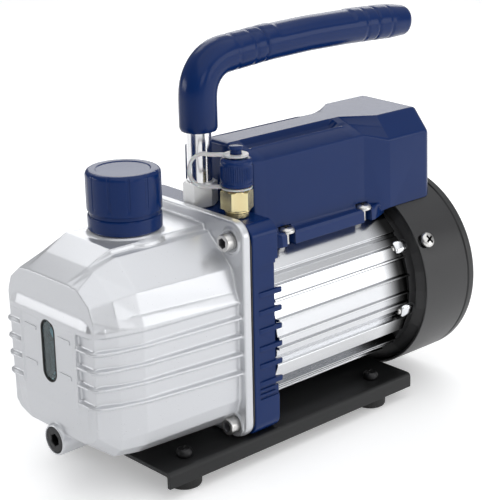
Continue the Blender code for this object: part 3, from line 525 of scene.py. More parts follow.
def casing():
    body = loft([[Vector((x, y, z)) for y, z in both_sides(half)] for x, half in CASE_SECTIONS])
    outline = rounded(2 * HALF_WIDTH, FLANGE_TOP - BASE_TOP - 0.3, 10, (0, (FLANGE_TOP + BASE_TOP + 0.3) / 2))
    flange = eased(loft([[Vector((x, u, v)) for u, v in outline] for x in (0, 5.7)]), 1.2, 3)
    shapes = [body, flange]
    shapes.append(turned([(16, 110), (24.5, 132), (23, 138.4), (20.6, 139.8), (19.5, 140.4), (19.3, 141.4)],
                         "z", (FILL_X, 0)))
    shapes.append(turned([(8.4, -91.6), (8.9, -90.8), (8.9, -60)], "x", (0, DRAIN_Z)))
    for side in (-1, 1):
        for z_rear, z_front in RIBS:
            profile = [(0, z_rear - 0.6, z_front - 0.6), (0, z_rear + 0.6, z_front + 0.6),
                       (3.6, z_rear + 1.8, z_front + 1.8), (7, z_rear + 1.8, z_front + 1.8),
                       (7, z_rear - 1.8, z_front - 1.8), (3.6, z_rear - 1.8, z_front - 1.8)]
            shapes.append(wrap(TIP_LINE, profile, side))
        band = [(0, 99.6, 101.4), (0, 100.6, 104), (2.3, 105.5, 110.2), (7, 105.5, 110.2),
                (7, 98.6, 100.4), (1.8, 98.6, 100.4)]
        shapes.append(wrap(BAND_LINE, band, side))
        shapes.append(loft([[Vector((x, side * y, z)) for x, z in
                             ((-91.3, 105), (-84, 105), (-84, 38.6), (-89.2, 39.6), (-91.3, 55.6))]
                            for y in (0, 24.6)]))
        lower = [(-91.2, 60.6), (-84, 60.6), (-84, 38.4), (-89.4, 39.4), (-91.2, 55.6)]
        shapes.append(loft([[Vector((x, side * 24, z)) for x, z in lower],
                            [Vector((x + 0.5, side * 31, z + 0.6)) for x, z in lower],
                            [Vector((x + 3.2, side * 36.6, z + 4)) for x, z in lower]]))
        shapes.append(block((-91.9, -84), (side * 23.8, side * 25.2), (60, 103)))
        for z in (134.5, 25.1):
            shapes.append(turned([(7.6, 2), (7.6, -0.5), (7.2, -0.9), (6.2, -0.9), (6, 2)], "x",
                                 (side * 43, z), 48, True))
    item = detail("oil_casing", merged(shapes), CAST, "cast_aluminium")
    fuse(item, 0.5, 3)
    openings = [loft([[Vector((x, y * k - math.copysign(3.5, y), min(z - 3.5, 134) if z > 80 else z + 3.5))
                       for y, z in both_sides(half)] for x, half, k in
                      ((7, CASE_SECTIONS[0][1], 1), (-63, CASE_SECTIONS[1][1], 1),
                       (-84, CASE_SECTIONS[3][1], 1))]),
                prism(rounded(12.4, 35.8, 6.15, (0, GLASS_Z), 10), "x", -95, -80)]
    for opening in openings:
        carve(item, [opening], angle=50)
    cuts = [turned([(13, 125), (13, 150)], "z", (FILL_X, 0), 48),
            turned([(7.7, -100), (7.7, -88.8), (6.9, -88.8), (6.9, -87.7), (5.2, -87.7), (5.2, -55)], "x",
                   (0, DRAIN_Z), 48)]
    cuts += [turned([(3.3, -2), (3.3, 8)], "x", place, 24) for place in BOLTS]
    carve(item, cuts, angle=50)
    return item


def sight_glass():
    """Sunk window: a chamber with a float and a guide wire behind a clear lens, in a dark gasket; the chamber's
    near-black back plate is painted shade for the casing's inside.
    """
    centre = (0, GLASS_Z)

    def slots(rows):
        return plates([(x, w, h, w / 2 - 0.01) for x, w, h in rows], centre, 10)
    gasket = ((-91.5, 12.2, 35.6), (-91.5, 10.8, 34.2), (-86, 10.4, 33.8), (-86, 12.2, 35.6))
    piece("sight_glass_gasket", loft(slots(gasket), True), RUBBER, "black_rubber")
    # painted shade: a near-black plate at the back of the window
    back = prism(rounded(12, 35.4, 5.98, centre, 10), "x", -85.8, -84.6)
    piece("sight_glass_shade_plate", back, CHAMBER_SHADE, "smoked_glass")
    lens = ((-89.2, 10.4, 33.8), (-90.4, 10.4, 33.8), (-90.9, 9.4, 32.8), (-91, 7, 30.4))
    piece("sight_glass_lens", loft(slots(lens)), CLEAR, "smoked_glass", stands_for=["sight_glass"])
    disc = turned([(0.4, -87), (2.3, -87), (2.6, -86.7), (2.6, -86.2), (0.4, -86)], "x", (0.6, 94.5), 32)
    piece("sight_glass_float", disc, FLOAT, "smoked_glass")
    loops = []
    for step in range(25):
        t = step / 24
        y = 2.4 - 5.6 * math.sin(math.pi * t) * 0.9
        z = 93 - 24 * t
        loops.append([Vector((-86.6 + 0.45 * math.cos(a), y + 0.45 * math.sin(a), z))
                      for a in (i * math.pi / 4 for i in range(8))])
    piece("sight_glass_wire", loft(loops), FLOAT, "smoked_glass")


def level_marks():
    """Raised brackets that point at the highest and lowest oil level."""
    marks = []
    for y_start, y_end, z in ((-9.2, -19.4, 95.3), (-9.2, -19.4, 75), (20.6, 10.8, 95.4), (21.6, 11.6, 74.8)):
        marks.append(eased(block((-91.75, -90.6), (y_start, y_end), (z - 0.25, z + 0.25)), 0.12, 1))
        marks.append(eased(block((-91.75, -90.6), (y_end - 0.25, y_end + 0.25), (z - 2, z)), 0.12, 1))
    piece("level_marks", merged(marks), CAST, "cast_aluminium")


def drain():
    front = -91.2
    centre = (0, DRAIN_Z)
    loops = rings(((4.7, -80), (4.7, -89.1), (7.2, -89.1), (7.3, front + 0.7), (6.9, front + 0.1), (6.4, front)),
                  "x", centre, 48)
    loops += rings(((3.5, front), (3.1, front + 0.4), (3, front + 3.4)), "x", centre, 48, hexagon)
    detail("drain_plug", loft(loops), OXIDE, "dark_steel", "drain_plug_body")


# ---- oil cap

def fade(value, low, high):
    t = min(max((value - low) / (high - low), 0), 1)
    return t * t * (3 - 2 * t)


def fluted(profile, count, centre, depth):
    """Loops round the z axis, sunk by depth(radius, height, angle)."""
    loops = []
    for radius, height in profile:
        loop = []
        for i in range(count):
            angle = 2 * math.pi * i / count
            reach = radius - depth(radius, height, angle)
            loop.append(Vector((centre[0] + reach * math.cos(angle), centre[1] + reach * math.sin(angle), height)))
        loops.append(loop)
    return loops


def oil_cap():
    """Cap with sunk flutes that stop short of a grooved collar."""
    flutes = 12
    profile = [(11, CAP_LOW - 8), (12.2, CAP_LOW - 7.6), (12.2, CAP_LOW - 2.6), (11, CAP_LOW - 2.6),
               (11, CAP_LOW), (19.4, CAP_LOW), (20.1, CAP_LOW + 0.7), (20.2, CAP_LOW + 7.4), (19.9, CAP_LOW + 8.2),
               (19.2, CAP_LOW + 8.6), (19.2, CAP_LOW + 10.2), (19.9, CAP_LOW + 10.6), (20.3, CAP_LOW + 11.4)]
    top = CAP_HIGH
    profile += [(20.3, CAP_LOW + 11.4 + 1.2 * i) for i in range(1, 16)]
    profile += [(20.3, top - 2.4), (20.1, top - 1.6), (19.6, top - 0.8), (18.8, top - 0.25), (17.6, top),
                (15, top - 0.1), (14.4, top - 0.5), (6, top - 0.6), (0.6, top - 0.6)]

    def flute(radius, height, angle):
        phase = abs((angle * flutes / (2 * math.pi)) % 1 - 0.5) * 2
        sunk = fade(phase, 0.80, 0.87) * fade(height, CAP_LOW + 13.2, CAP_LOW + 14.2) * fade(radius, 18.4, 19.4)
        return 0.32 * sunk
    loops = fluted(profile, 360, (FILL_X, 0), flute)
    detail("oil_cap", loft(loops), BLUE_PLASTIC, "blue_plastic", "oil_cap_body", smooth=30)


# ---- centre frame

def centre_frame():
    half = [(46, FRAME_TOP), (48.6, 142), (51.4, 139.4), (52.6, 137.4), (HALF_WIDTH, 135)]
    bottom = BASE_TOP + 0.3
    for step in range(9):
        angle = math.radians(-90 * step / 8)
        half.append((45 + 8 * math.cos(angle), bottom + 8 + 8 * math.sin(angle)))
    item = detail("centre_frame", eased(prism(both_sides(half), "x", FRAME_FRONT, FRAME_REAR), 0.7, 3, 50),
                 BLUE, "blue_paint")
    cuts = []
    for side in (-1, 1):
        cuts.append(block((FRAME_REAR - 2.2, FRAME_REAR + 2), (side * 47, side * 56), (44.5, 121)))
        cuts.append(eased(block((10.6, FRAME_REAR + 2), (side * (HALF_WIDTH - 1.1), side * 56),
                                (39, 119)), 0.5, 2))
    carve(item, cuts, overlapping=True)
    fins = []
    for side in (-1, 1):
        for z in (101.9, 91.1, 80.2, 69.4, 58.8, 48.2):
            outline = [(10, side * 50), (10, side * 51.8), (13, side * 53.1), (27.2, side * 53.4),
                       (28.2, side * 52.8), (28.2, side * 51.6), (25, side * 50)]
            fins.append(eased(prism(outline, "z", z - 1.5, z + 1.5), 0.6, 2))
        for z in (44.4, 41.4):
            fins.append(eased(block((9.4, FRAME_REAR - 2.6), (side * 50, side * (HALF_WIDTH - 0.1)),
                                    (z - 0.7, z + 0.7)), 0.3, 2))
    carve(item, fins, "UNION")
    holes = [turned([(13, 0), (13, 12.5), (9, 12.5), (9, 13.4), (17.8, 13.4), (17.8, 30)], "x",
                    (0, SHAFT_Z), 48)]
    holes += [turned([(3.3, 0), (3.3, 22)], "x", place, 24) for place in BOLTS]
    holes.append(turned([(7.3, 126), (7.3, 150)], "z", (HANDLE_X, 0), 48))
    holes.append(turned([(5.2, 120), (5.2, 150)], "z", INLET, 48))
    carve(item, holes)


# ---- inlet

def inlet():
    foot = FRAME_TOP + 0.3
    low, high = foot + 4.2, foot + 15.4
    thread = []
    height = high + 1
    while height < high + 11.6:
        thread += [(5, height), (5.7, height + 0.45), (5.7, height + 0.75)]
        height += 1.2
    stem = [(4.8, foot - 16), (4.8, foot), (6.2, foot), (6.6, foot + 0.4), (6.6, foot + 2.6), (7.2, foot + 3.2),
            (7.2, low), (7.9, low)]
    neck = [(7.9, high - 0.1), (7, high), (5, high + 0.4), *thread, (4.6, high + 13), (2.4, high + 13),
            (2.4, foot - 16)]
    loops = rings(stem, "z", INLET, 72)
    loops += rings(((8, low + 0.5), (8, high - 0.6)), "z", INLET, 72, hexagon)
    loops += rings(neck, "z", INLET, 72)
    detail("inlet_fitting", loft(loops, True), BRASS, "brass", smooth=26)
    inlet_cap(high)


def inlet_cap(hex_high):
    low, high = hex_high + 2.4, hex_high + 18.2
    profile = [(5.9, high - 3.2), (5.9, low + 0.5), (6.4, low), (8.6, low), (9.1, low + 0.5), (9.2, low + 1.6),
               (8.8, low + 2.2), (9, low + 2.8)]
    profile += [(9, low + 2.8 + 1 * i) for i in range(1, 10)]
    profile += [(8.9, high - 3.4), (9.1, high - 2.6), (8.9, high - 1.4), (8.2, high - 0.4), (7.2, high), (3.6, high),
                (3.2, high + 0.6), (3.2, high + 4.2), (4, high + 4.8), (4.2, high + 5.4), (4.1, high + 6.2),
                (3.6, high + 6.6), (1, high + 6.7)]

    def knurl(radius, height, angle):
        ridge = 0.34 * (0.5 + 0.5 * math.cos(angle * 45))
        return ridge * fade(height, low + 2.8, low + 3.4) * (1 - fade(height, high - 4, high - 3.4)) * (radius > 8)
    loops = fluted(profile, 180, INLET, knurl)
    detail("inlet_cap", loft(loops), BLUE_PLASTIC, "blue_plastic", "inlet_cap_body", smooth=40)
    tether(hex_high + 1.3, high + 2)


def tether(low, high):
    """Soft strap: a ring under the cap, a loop at its side and an eye on the cap's stem."""
    lean = math.radians(136)
    out = Vector((math.cos(lean), math.sin(lean), 0))
    side = Vector((-out.y, out.x, 0))
    base = Vector((*INLET, 0))
    middle, rise = (low + high) / 2, (high - low) / 2
    path = [base + out * reach + Vector((0, 0, high - 0.5)) for reach in (4.4, 7, 10, 14)]
    for step in range(25):
        angle = math.radians(90 - 180 * step / 24)
        path.append(base + out * (17.4 + 8.5 * math.cos(angle)) + Vector((0, 0, middle + rise * math.sin(angle))))
    path += [base + out * reach + Vector((0, 0, low)) for reach in (14, 10, 6.8)]
    loops = []
    for i, point in enumerate(path):
        along = (path[min(i + 1, len(path) - 1)] - path[max(i - 1, 0)]).normalized()
        normal = along.cross(side).normalized()
        loop = []
        for a in range(16):
            u, v = math.cos(2 * math.pi * a / 16), math.sin(2 * math.pi * a / 16)
            loop.append(point + side * 2 * math.copysign(abs(u) ** 0.7, u)
                        + normal * 1 * math.copysign(abs(v) ** 0.7, v))
        loops.append(loop)
    shapes = [loft(loops)]
    for inner, outer, bottom, top in ((5.8, 8.8, low - 0.6, low + 0.6), (3.4, 7, high - 1.1, high + 0.1)):
        profile = [(inner, bottom), (outer, bottom), (outer, top), (inner, top)]
        shapes.append(eased(turned(profile, "z", INLET, 64, True), 0.25, 2))
    strap = piece("cap_tether_detail", shapes[0], STRAP, "clear_strap", body=None, stands_for=["cap_tether"])
    carve(strap, shapes[1:], "UNION", 40)
    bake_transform(strap)


def world(x, y, z):
    return ((x + SEAM) * MM, y * MM, z * MM)


# ---- handle

def handle():
    centre = (HANDLE_X, 0)
    tube = [(7, 127), (7, 214), (5.4, 214), (5.4, 127)]
    detail("handle_tube", turned(tube, "z", centre, 96, True), CHROME, "chrome")
    low = FLANGE_TOP - 2.6
    high = low + 13.6
    loops = rings(((7.3, high), (7.3, low), (8.5, low)), "z", centre, 72)
    loops += rings(((8.6, low + 0.7), (8.6, low + 12.9)), "z", centre, 72, hexagon)
    loops += rings(((8.5, high),), "z", centre, 72)
    detail("handle_nut", loft(loops, True), SATIN, "zinc_steel", smooth=26)
    grip()


def grip_path():
    """Centre line as (x, z, travelled) points about a millimetre apart."""
    bend, corner_z = 21, 206.2
    points = [(HANDLE_X, GRIP_LOW + i * 1.1) for i in range(18)]
    for step in range(1, 30):
        angle = math.radians(180 - 86 * step / 30)
        points.append((HANDLE_X + bend + bend * math.cos(angle), corner_z + bend * math.sin(angle)))
    knots = [(37.7, 227.1), (66, 229.3), (98, 230.4), (130, 230.2), (160, 229.2), (178, 228.2),
             (185, 227.4)]
    for (x0, z0), (x1, z1) in zip(knots, knots[1:]):
        count = max(int(x1 - x0), 1)
        points += [(x0 + (x1 - x0) * i / count, z0 + (z1 - z0) * i / count) for i in range(count)]
    points.append(knots[-1])
    for _ in range(12):
        points = [points[0], points[1]] + [((points[i - 1][0] + points[i][0] + points[i + 1][0]) / 3,
                                            (points[i - 1][1] + points[i][1] + points[i + 1][1]) / 3)
                                           for i in range(2, len(points) - 2)] + points[-2:]
    return points


GRIP_RINGS = (39.5, 51.5, 60, 141.5, 152, 163.5)


def grip():
    points = grip_path()
    count = 64
    last = points[-1][0]
    loops = []
    for i, (x, z) in enumerate(points):
        before, after = points[max(i - 1, 0)], points[min(i + 1, len(points) - 1)]
        along = Vector((after[0] - before[0], 0, after[1] - before[1])).normalized()
        across = Vector((-along.z, 0, along.x))
        start = min(max((z - GRIP_LOW) / 1.6, 0), 1) if i < 4 else 1
        end = last - x
        tip = math.sqrt(max(1 - (1 - min(end / 6, 1)) ** 2, 0)) if end < 6 else 1
        tip *= 1 - 0.13 * fade(x, 163, last)
        radius = 11 * (0.93 + 0.07 * start) * max(tip, 0.12)
        groove = max((math.exp(-((x - ring) / 0.8) ** 2) for ring in GRIP_RINGS), default=0) if z > 215 else 0
        panel = fade(x, 69, 71.5) * (1 - fade(x, 131, 133.5))
        loop = []
        for k in range(count):
            angle = 2 * math.pi * k / count
            u, v = math.cos(angle), math.sin(angle)
            facet = 1 / (abs(u) ** 2.5 + abs(v) ** 2.5) ** (1 / 2.5)
            flat = 0.965 + 0.05 * (facet - 1) / 0.14
            sunk = panel * fade(u, 0.42, 0.52) * 0.55
            reach = radius * flat - groove * 0.55 - sunk
            loop.append(Vector((x, 0, z)) + across * u * reach + Vector((0, v * reach * 0.985, 0)))
        loops.append(loop)
    item = detail("handle_grip", loft(loops), BLUE_PLASTIC, "blue_plastic", smooth=40)
    carve(item, [turned([(7.3, 180), (7.3, 215)], "z", (HANDLE_X, 0), 48)], angle=40)


# ---- motor

# (degrees above the horizontal, radius) down one side of the extrusion
FIN_PROFILE = (
    (90, HOUSING_RADIUS), (80, HOUSING_RADIUS), (70, HOUSING_RADIUS), (60, 56.2),
    (52, 54.6), (43.4, 55), (43, 53.2), (40.6, 52.9),
    (40.3, 53.9), (35.4, 53.9), (35.1, 52.7), (34.3, 52.7), (34, 53.8), (26.6, 52.5), (26.2, 54.9), (25, 54.9),
    (24.6, 51), (15.2, 51), (14.4, 51), (14, 54.4), (12.7, 54.4), (12.2, 50.8), (2.4, 51.2), (2, 52.9),
    (0.7, 52.9), (0.3, 51.2), (-4.6, 51.2), (-5, 52.9), (-6.3, 52.9), (-6.7, 50.8), (-10.8, 50.8), (-15.4, 49.4),
    (-16.6, 53.4), (-27.4, 53.4), (-28, 44.4), (-37.6, 44.2), (-38, 53.4), (-39.4, 53.4), (-39.8, 51.8),
    (-41, 51.8), (-41.4, 53.4), (-42.8, 53.4), (-43.4, 44.4), (-54, 44.4), (-54.6, 52.8), (-56.8, 52.8),
    (-57.4, 44.6), (-68, 44.6), (-68.6, 52.8), (-70.8, 52.8), (-71.4, 44.8), (-82, 44.8), (-82.6, 52.8),
    (-85, 52.8), (-85.6, 45), (-90, 45),
)


def paint_cover_reflection_and_shade(material, start, end):
    """Blend a finish into black between two x positions in metres: painted reflection and shade of the black fan cover,
    which the polished housing mirrors there.
    """
    tree = material.node_tree
    shader = tree.nodes["Principled BSDF"]
    place = add(tree, "TexCoord")
    split = add(tree, "SeparateXYZ")
    link(place, "Object", split, "Vector")
    share = add(tree, "MapRange", {"interpolation_type": "SMOOTHSTEP"}, From_Min=start, From_Max=end)
    link(split, "X", share, "Value")
    # near-black colour of the painted cover reflection and shade
    cover_reflection_mix = add(tree, "Mix", COLOUR_MIX, B=(0.012, 0.012, 0.012, 1))
    link(share, "Result", cover_reflection_mix, "Factor")
    link(shader.inputs["Base Color"].links[0].from_node, "Result", cover_reflection_mix, "A")
    link(cover_reflection_mix, "Result", shader, "Base Color")


def motor():
    half = [(r * math.cos(math.radians(a)), SHAFT_Z + r * math.sin(math.radians(a))) for a, r in FIN_PROFILE]
    outline = half[1:-1] + [(-y, z) for y, z in reversed(half[1:-1])]
    shape = eased(loft([[Vector((x, y, z)) for y, z in outline] for x in (26, 134.4)]), 0.22, 1, 40)
    # painted reflection and shade of the fan cover on the rear of the housing
    paint_cover_reflection_and_shade(HOUSING_WITH_COVER_REFLECTION, (SEAM + 110) * MM, (SEAM + 129) * MM)
    item = detail("motor_housing", shape, HOUSING_WITH_COVER_REFLECTION, "extruded_aluminium", smooth=20)
    carve(item, [turned([(42, 20), (42, 140)], "x", (0, SHAFT_Z), 96)], angle=20)
    for number, (angle, reach) in enumerate(((33, 51.5), (-12, 50.5), (147, 51.5), (192, 50.5)), 1):
        lug_and_screw(number, math.radians(angle), reach)


def lug_and_screw(number, angle, reach):
    """Lug of the end shield with the end of a through bolt."""
    out = Vector((0, -math.cos(angle), math.sin(angle)))
    side = Vector((0, math.sin(angle), math.cos(angle)))
    centre = Vector((0, 0, SHAFT_Z)) + out * reach
    loops = []
    for x, grow in ((128.6, 0.8), (130, 1), (137, 1), (139.6, 0.86)):
        loops.append([Vector((x, 0, 0)) + centre + out * (u * 3.4 * grow) + side * (v * 4.4 * grow)
                      for u, v in rounded(2, 2, 0.7, steps=5)])
    piece(f"end_shield_lug_{number}", eased(loft(loops), 0.3, 2, 50), EXTRUDED, "extruded_aluminium")
    head = placed(cross_head(2.3, 1.6, 1.2, 3), facing((-1, 0, 0), centre + Vector((128.3, 0, 0))))
    # the driver socket is painted black oxide as shade
    piece(f"end_shield_screw_{number}", head, ZINC, "zinc_steel", recess=OXIDE)


def fan_cover():
    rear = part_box("fan_cover")[1].x / MM - SEAM
    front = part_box("fan_cover")[0].x / MM - SEAM
    profile = [(60, front + 0.4), (60.3, front), (61.2, front), (COVER_RADIUS, front + 0.4), (COVER_RADIUS, rear - 7.4),
               (61.3, rear - 7), (60.7, rear - 6.8), (60.5, rear - 6.4), (60.5, rear - 5.9), (60.9, rear - 5.5),
               (61.3, rear - 5.2), (61.4, rear - 4.6), (61.4, rear - 1.6), (61.1, rear - 0.8), (60.4, rear - 0.2),
               (59.4, rear), (49, rear), (48.2, rear - 0.5), (13, rear - 0.5), (12.2, rear), (9, rear),
               (9, rear - 1.5), (12.6, rear - 1.9), (57, rear - 1.9), (58.8, rear - 4), (59.2, rear - 8.8),
               (60, rear - 10.4)]
    item = detail("fan_cover", turned(profile, "x", (0, SHAFT_Z), 128, True), COVER, "black_cover", smooth=30)
    slots = []
    for low, high, count, width in ((15.5, 29, 18, 2.6), (31.5, 46, 36, 2.6)):
        for step in range(count):
            turn = Matrix.Rotation(2 * math.pi * (step + 0.5) / count, 4, "X")
            outline = rounded(width, high - low, width / 2 - 0.01, (0, (low + high) / 2), 3)
            slots.append(placed(prism(outline, "x", rear - 3, rear + 2),
                                Matrix.Translation((0, 0, SHAFT_Z)) @ turn))
    carve(item, slots, angle=30)
    holes = []
    for number in range(1, 4):
        out, middle = cover_screw(number, 58)
        holes.append(placed(prism(rounded(11.8, 8.6, 4.2, (-1.4, 0), 6), "z", 0, 6), facing(out, middle)))
    carve(item, holes, angle=30)


# ---- electrical box

def filleted(points, radii, steps=8):
    """Round the inner corners of an open line; a radius of zero keeps the corner."""
    result = []
    for i, (point, radius) in enumerate(zip(points, radii)):
        if radius == 0:
            result.append(tuple(point))
            continue
        corner = Vector(point)
        back, ahead = Vector(points[i - 1]) - corner, Vector(points[i + 1]) - corner
        half_angle = back.angle(ahead) / 2
        reach = min(radius / max(math.tan(half_angle), 1e-4), 0.45 * min(back.length, ahead.length))
        start, end = corner + back.normalized() * reach, corner + ahead.normalized() * reach
        for step in range(steps + 1):
            t = step / steps
            result.append(tuple(start * (1 - t) ** 2 + corner * (2 * t * (1 - t)) + end * t * t))
    return result


BOX_RADII = (0, 1, 0.5, 0.6, 0.4, 0.4, 0.3, 1.6, 0)


def narrow_half(channel, foot):
    """Half outline of the narrow part; channel 1 sinks a trough beside the flat top."""
    edge, ridge, shoulder = Vector((8, BOX_TOP)), Vector((17.8, 174.5)), Vector((30, 170.4))
    sunk = (Vector((9.6, 174.4)), Vector((12, 172.6)), Vector((16.4, 172.9)))
    points = [Vector((4, BOX_TOP)), edge]
    points += [edge.lerp(ridge, t).lerp(low, channel) for t, low in zip((0.25, 0.5, 0.85), sunk)]
    lip = (ridge.lerp(Vector((17.4, 175.2)), channel), edge.lerp(shoulder, 0.49))
    points += [*lip, shoulder, Vector((31, foot))]
    return filleted(points, BOX_RADII)


def wide_half(foot):
    edge, shoulder = Vector((21.8, BOX_TOP)), Vector((33.4, 164.6))
    points = [Vector((10, BOX_TOP)), edge]
    points += [edge.lerp(shoulder, t) for t in (0.11, 0.22, 0.38, 0.445, 0.49)]
    points += [shoulder, Vector((34.4, foot))]
    return filleted(points, (0, 3, 0.5, 0.6, 0.4, 0.4, 0.3, 4.5, 0))


def shrunk(half, inset):
    """The outline drawn in for the rounded end of the box."""
    foot = half[-1][1]
    return [(y * (1 - inset / 32), foot + (z - foot) * (1 - inset / 52)) for y, z in half]


def box():
    front, rear = BOX_FRONT, BOX_REAR
    foot_narrow = SHAFT_Z + math.sqrt(HOUSING_RADIUS ** 2 - 30 ** 2)
    foot_wide = SHAFT_Z + math.sqrt(COVER_RADIUS ** 2 - 33.6 ** 2)
    plain, sunk, wide = narrow_half(0, foot_narrow), narrow_half(1, foot_narrow), wide_half(foot_wide)
    stations = [(front + x, shrunk(plain, inset)) for x, inset in ((0, 2.4), (0.4, 1.2), (1.1, 0.4), (2.4, 0))]
    stations += [(37, plain), (40, sunk), (107, sunk), (111, plain)]
    for x, share in ((116.4, 0), (117.6, 0.03), (135.4, 0.97), (136.6, 1)):
        stations.append((x, [(a + (c - a) * share, b + (d - b) * share) for (a, b), (c, d) in zip(plain, wide)]))
    stations += [(rear - x, shrunk(wide, inset))
                 for x, inset in ((5, 0), (3, 0.4), (1.2, 1.3), (0.3, 2.5), (0, 3.6))]
    loops = [[Vector((x, y, z)) for y, z in both_sides(half)] for x, half in stations]
    item = detail("electrical_box", loft(loops), BLUE, "blue_box", smooth=30)
    axis = (0, SHAFT_Z)
    carve(item, [turned([(BOX_SEAT_RADIUS, 20), (BOX_SEAT_RADIUS, 140.4)], "x", axis, 160)], angle=30)
    carve(item, [turned([(62, 140), (62, 190)], "x", axis, 160)], angle=30)
    skirts = []
    for side in (-1, 1):
        profile = [(26.5, 131), (30.6, 129), (31.6, 126.9), (33, 126.2), (34.6, 126.7), (35.8, 126.2),
                   (36.6, 124.4), (37, 118.6), (36.4, 118.2), (26.5, 118.2)]
        loops = []
        for x, grow in ((38, 0), (40.5, 0.6), (44, 1), (120, 1), (124, 0.75), (130, 0.3), (134, 0)):
            loops.append([Vector((x, side * (26.5 + (y - 26.5) * (0.42 + 0.58 * grow)), z)) for y, z in profile])
        skirts.append(loft(loops))
    carve(item, skirts, "UNION", 30)
    carve(item, [turned([(BOX_SEAT_RADIUS, 20), (BOX_SEAT_RADIUS, 138)], "x", axis, 160)], angle=30)
    notches = []
    for x in BOX_SCREW_X:
        for side in (-1, 1):
            notches.append(turned([(5.3, 125.2), (5.3, 129)], "z", (x, side * BOX_SCREW_Y), 48))
            notches.append(block((x - 3.2, x + 3.2), (side * BOX_SCREW_Y, side * 40), (116, 125.3)))
            notches.append(turned([(3.2, 112), (3.2, 125.4)], "z", (x, side * BOX_SCREW_Y), 32))
    carve(item, notches, angle=30, overlapping=True)
    for x_range, reach, z_range in (((front + 3, 116), 25, (100, 168)),
                                    ((134, rear - 3), 30, (110, 161)),
                                    ((115, 135), 25, (112, 160))):
        carve(item, [block(x_range, (-reach, reach), z_range)], angle=30)
    ports = [block((rear - 6, rear + 3), (-24.3, 4.3), (140, 160.6)),
             block((rear - 6, rear + 3), (9.7, 24.3), (139.7, 161.3))]
    carve(item, ports, angle=30)
    rear_fittings(rear)


def rear_fittings(rear):
    centre = (-10, 150.3)
    rows = ((-18, 28, 20, 3), (0.3, 28, 20, 3), (0.3, 34, 26, 3), (1.9, 34, 26, 3),
            (2.4, 33, 25, 3), (2.4, 24, 16, 2.4), (-12, 24, 16, 2.4))
    shape = loft(plates([(rear + x, *size) for x, *size in rows], centre))
    detail("power_inlet", shape, COVER, "black_cover")
    pins = []
    for y, z in ((-17, 148.2), (-10, 152.6), (-3, 148.2)):
        pins.append(eased(block((rear - 13, rear - 1.5), (y - 1, y + 1), (z - 2, z + 2)), 0.4, 2))
    piece("power_inlet_pins", merged(pins), ZINC, "zinc_steel")
    centre = (17, 150.5)
    rows = ((-12, 14, 21, 1.2), (0.3, 14, 21, 1.2), (0.3, 17.6, 24.6, 2), (1.3, 17.6, 24.6, 2),
            (1.8, 16.8, 23.8, 2), (1.8, 10.8, 17, 0.8), (-9, 10.8, 17, 0.8))
    shape = loft(plates([(rear + x, *size) for x, *size in rows], centre))
    detail("switch_frame", shape, COVER, "black_cover")
    outline = [(-4, -7.4), (1.6, -7.9), (2.2, -7.6), (1.75, -5), (1.2, -2), (1, 0), (1.2, 2), (1.75, 5),
               (2.2, 7.6), (1.6, 7.9), (-4, 7.4)]
    rocker = loft([[Vector((rear + x, centre[0] + y, centre[1] + z)) for x, z in outline] for y in (-4.9, 4.9)])
    detail("switch_rocker", eased(rocker, 0.3, 2, 50), RED, "red_switch", "rocker")


# ---- base and feet

def base():
    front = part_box("base_plate")[0].x / MM - SEAM
    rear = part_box("base_plate")[1].x / MM - SEAM
    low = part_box("base_plate")[0].z / MM
    outer = [(44, BASE_TOP), (50.4, BASE_TOP), (51.6, BASE_TOP - 0.3), (52.6, BASE_TOP - 1.2), (53, BASE_TOP - 2.6),
             (53, low)]
    inner = [(50.5, low), (50.5, BASE_TOP - 3.2), (49.8, BASE_TOP - 2.5), (44, BASE_TOP - 2.5)]
    half = outer + inner
    outline = half + [(-y, z) for y, z in reversed(half)]
    item = detail("base_plate", eased(prism(outline, "x", front, rear), 0.35, 2, 50), STEEL_BLACK,
                 "black_steel")
    places = []
    for number in range(1, 5):
        x, y, _, top = spot(f"rubber_foot_{number}")
        places.append((x, y))
        profile = [(2.6, 0), (5, 0), (5.4, 0.5), (6.4, 0.5), (6.8, 0), (8.4, 0), (8.9, 0.3), (9.3, 1.2),
                   (9.8, top - 1.2), (9.5, top), (2.6, top)]
        detail(f"rubber_foot_{number}", turned(profile, "z", (x, y), 64, True), RUBBER, "black_rubber")
    carve(item, [turned([(2.6, 10), (2.6, 20)], "z", place, 32) for place in places])


# ---- stage

VIEW_POINT = (-511, -642, 398.6)
VIEW_YAW, VIEW_PITCH, VIEW_ROLL = 42.17, -18, 0.875
LENS = 108.8
SHIFT = (-0.35, -0.0484)
FLOOR_REACH = 6
FLOOR_GLOW = 0.3
LIT_POINT = (0, 0, 0.1)
# (name, position and size in metres, power in watts)
LIGHTS = (
    ("key", (-0.1, -0.6, 1.5), (2.6, 2.3), 13.5),
    ("strip", (0.72, -1.25, 0.38), (1.2, 0.5), 3.9),
    ("left", (-0.95, 0.93, 0.34), (0.7, 0.26), 2.3),
    ("rear", (0.93, 1.03, 0.68), (1, 0.6), 3.4),
    ("back", (0.25, 1.05, 1.17), (0.8, 0.5), 2.4),
    ("corner", (-0.43, -1.3, 0.52), (0.5, 0.4), 1.3),
)


def camera():
    """The camera; its shift holds only at the main viewpoint, so that other views stay centred."""
    data = bpy.data.cameras.new("camera")
    data.lens = LENS
    data.sensor_width = 36
    item = linked("camera", data)
    item.location = world(*VIEW_POINT)
    yaw, pitch = math.radians(VIEW_YAW), math.radians(VIEW_PITCH)
    ahead = Vector((math.cos(yaw) * math.cos(pitch), math.sin(yaw) * math.cos(pitch), math.sin(pitch)))
    turn = ahead.to_track_quat("-Z", "Y").to_matrix() @ Matrix.Rotation(math.radians(VIEW_ROLL), 3, "Z")
    item.rotation_euler = turn.to_euler()
    for path, value in zip(("shift_x", "shift_y"), SHIFT):
        driver = data.driver_add(path).driver
        driver.type = "SCRIPTED"
        variable = driver.variables.new()
        variable.name = "x"
        variable.targets[0].id = item
        variable.targets[0].data_path = "location[0]"
        driver.expression = f"{value} if abs(x - {item.location.x:.6f}) < 0.001 else 0.0"
    bpy.context.scene.camera = item


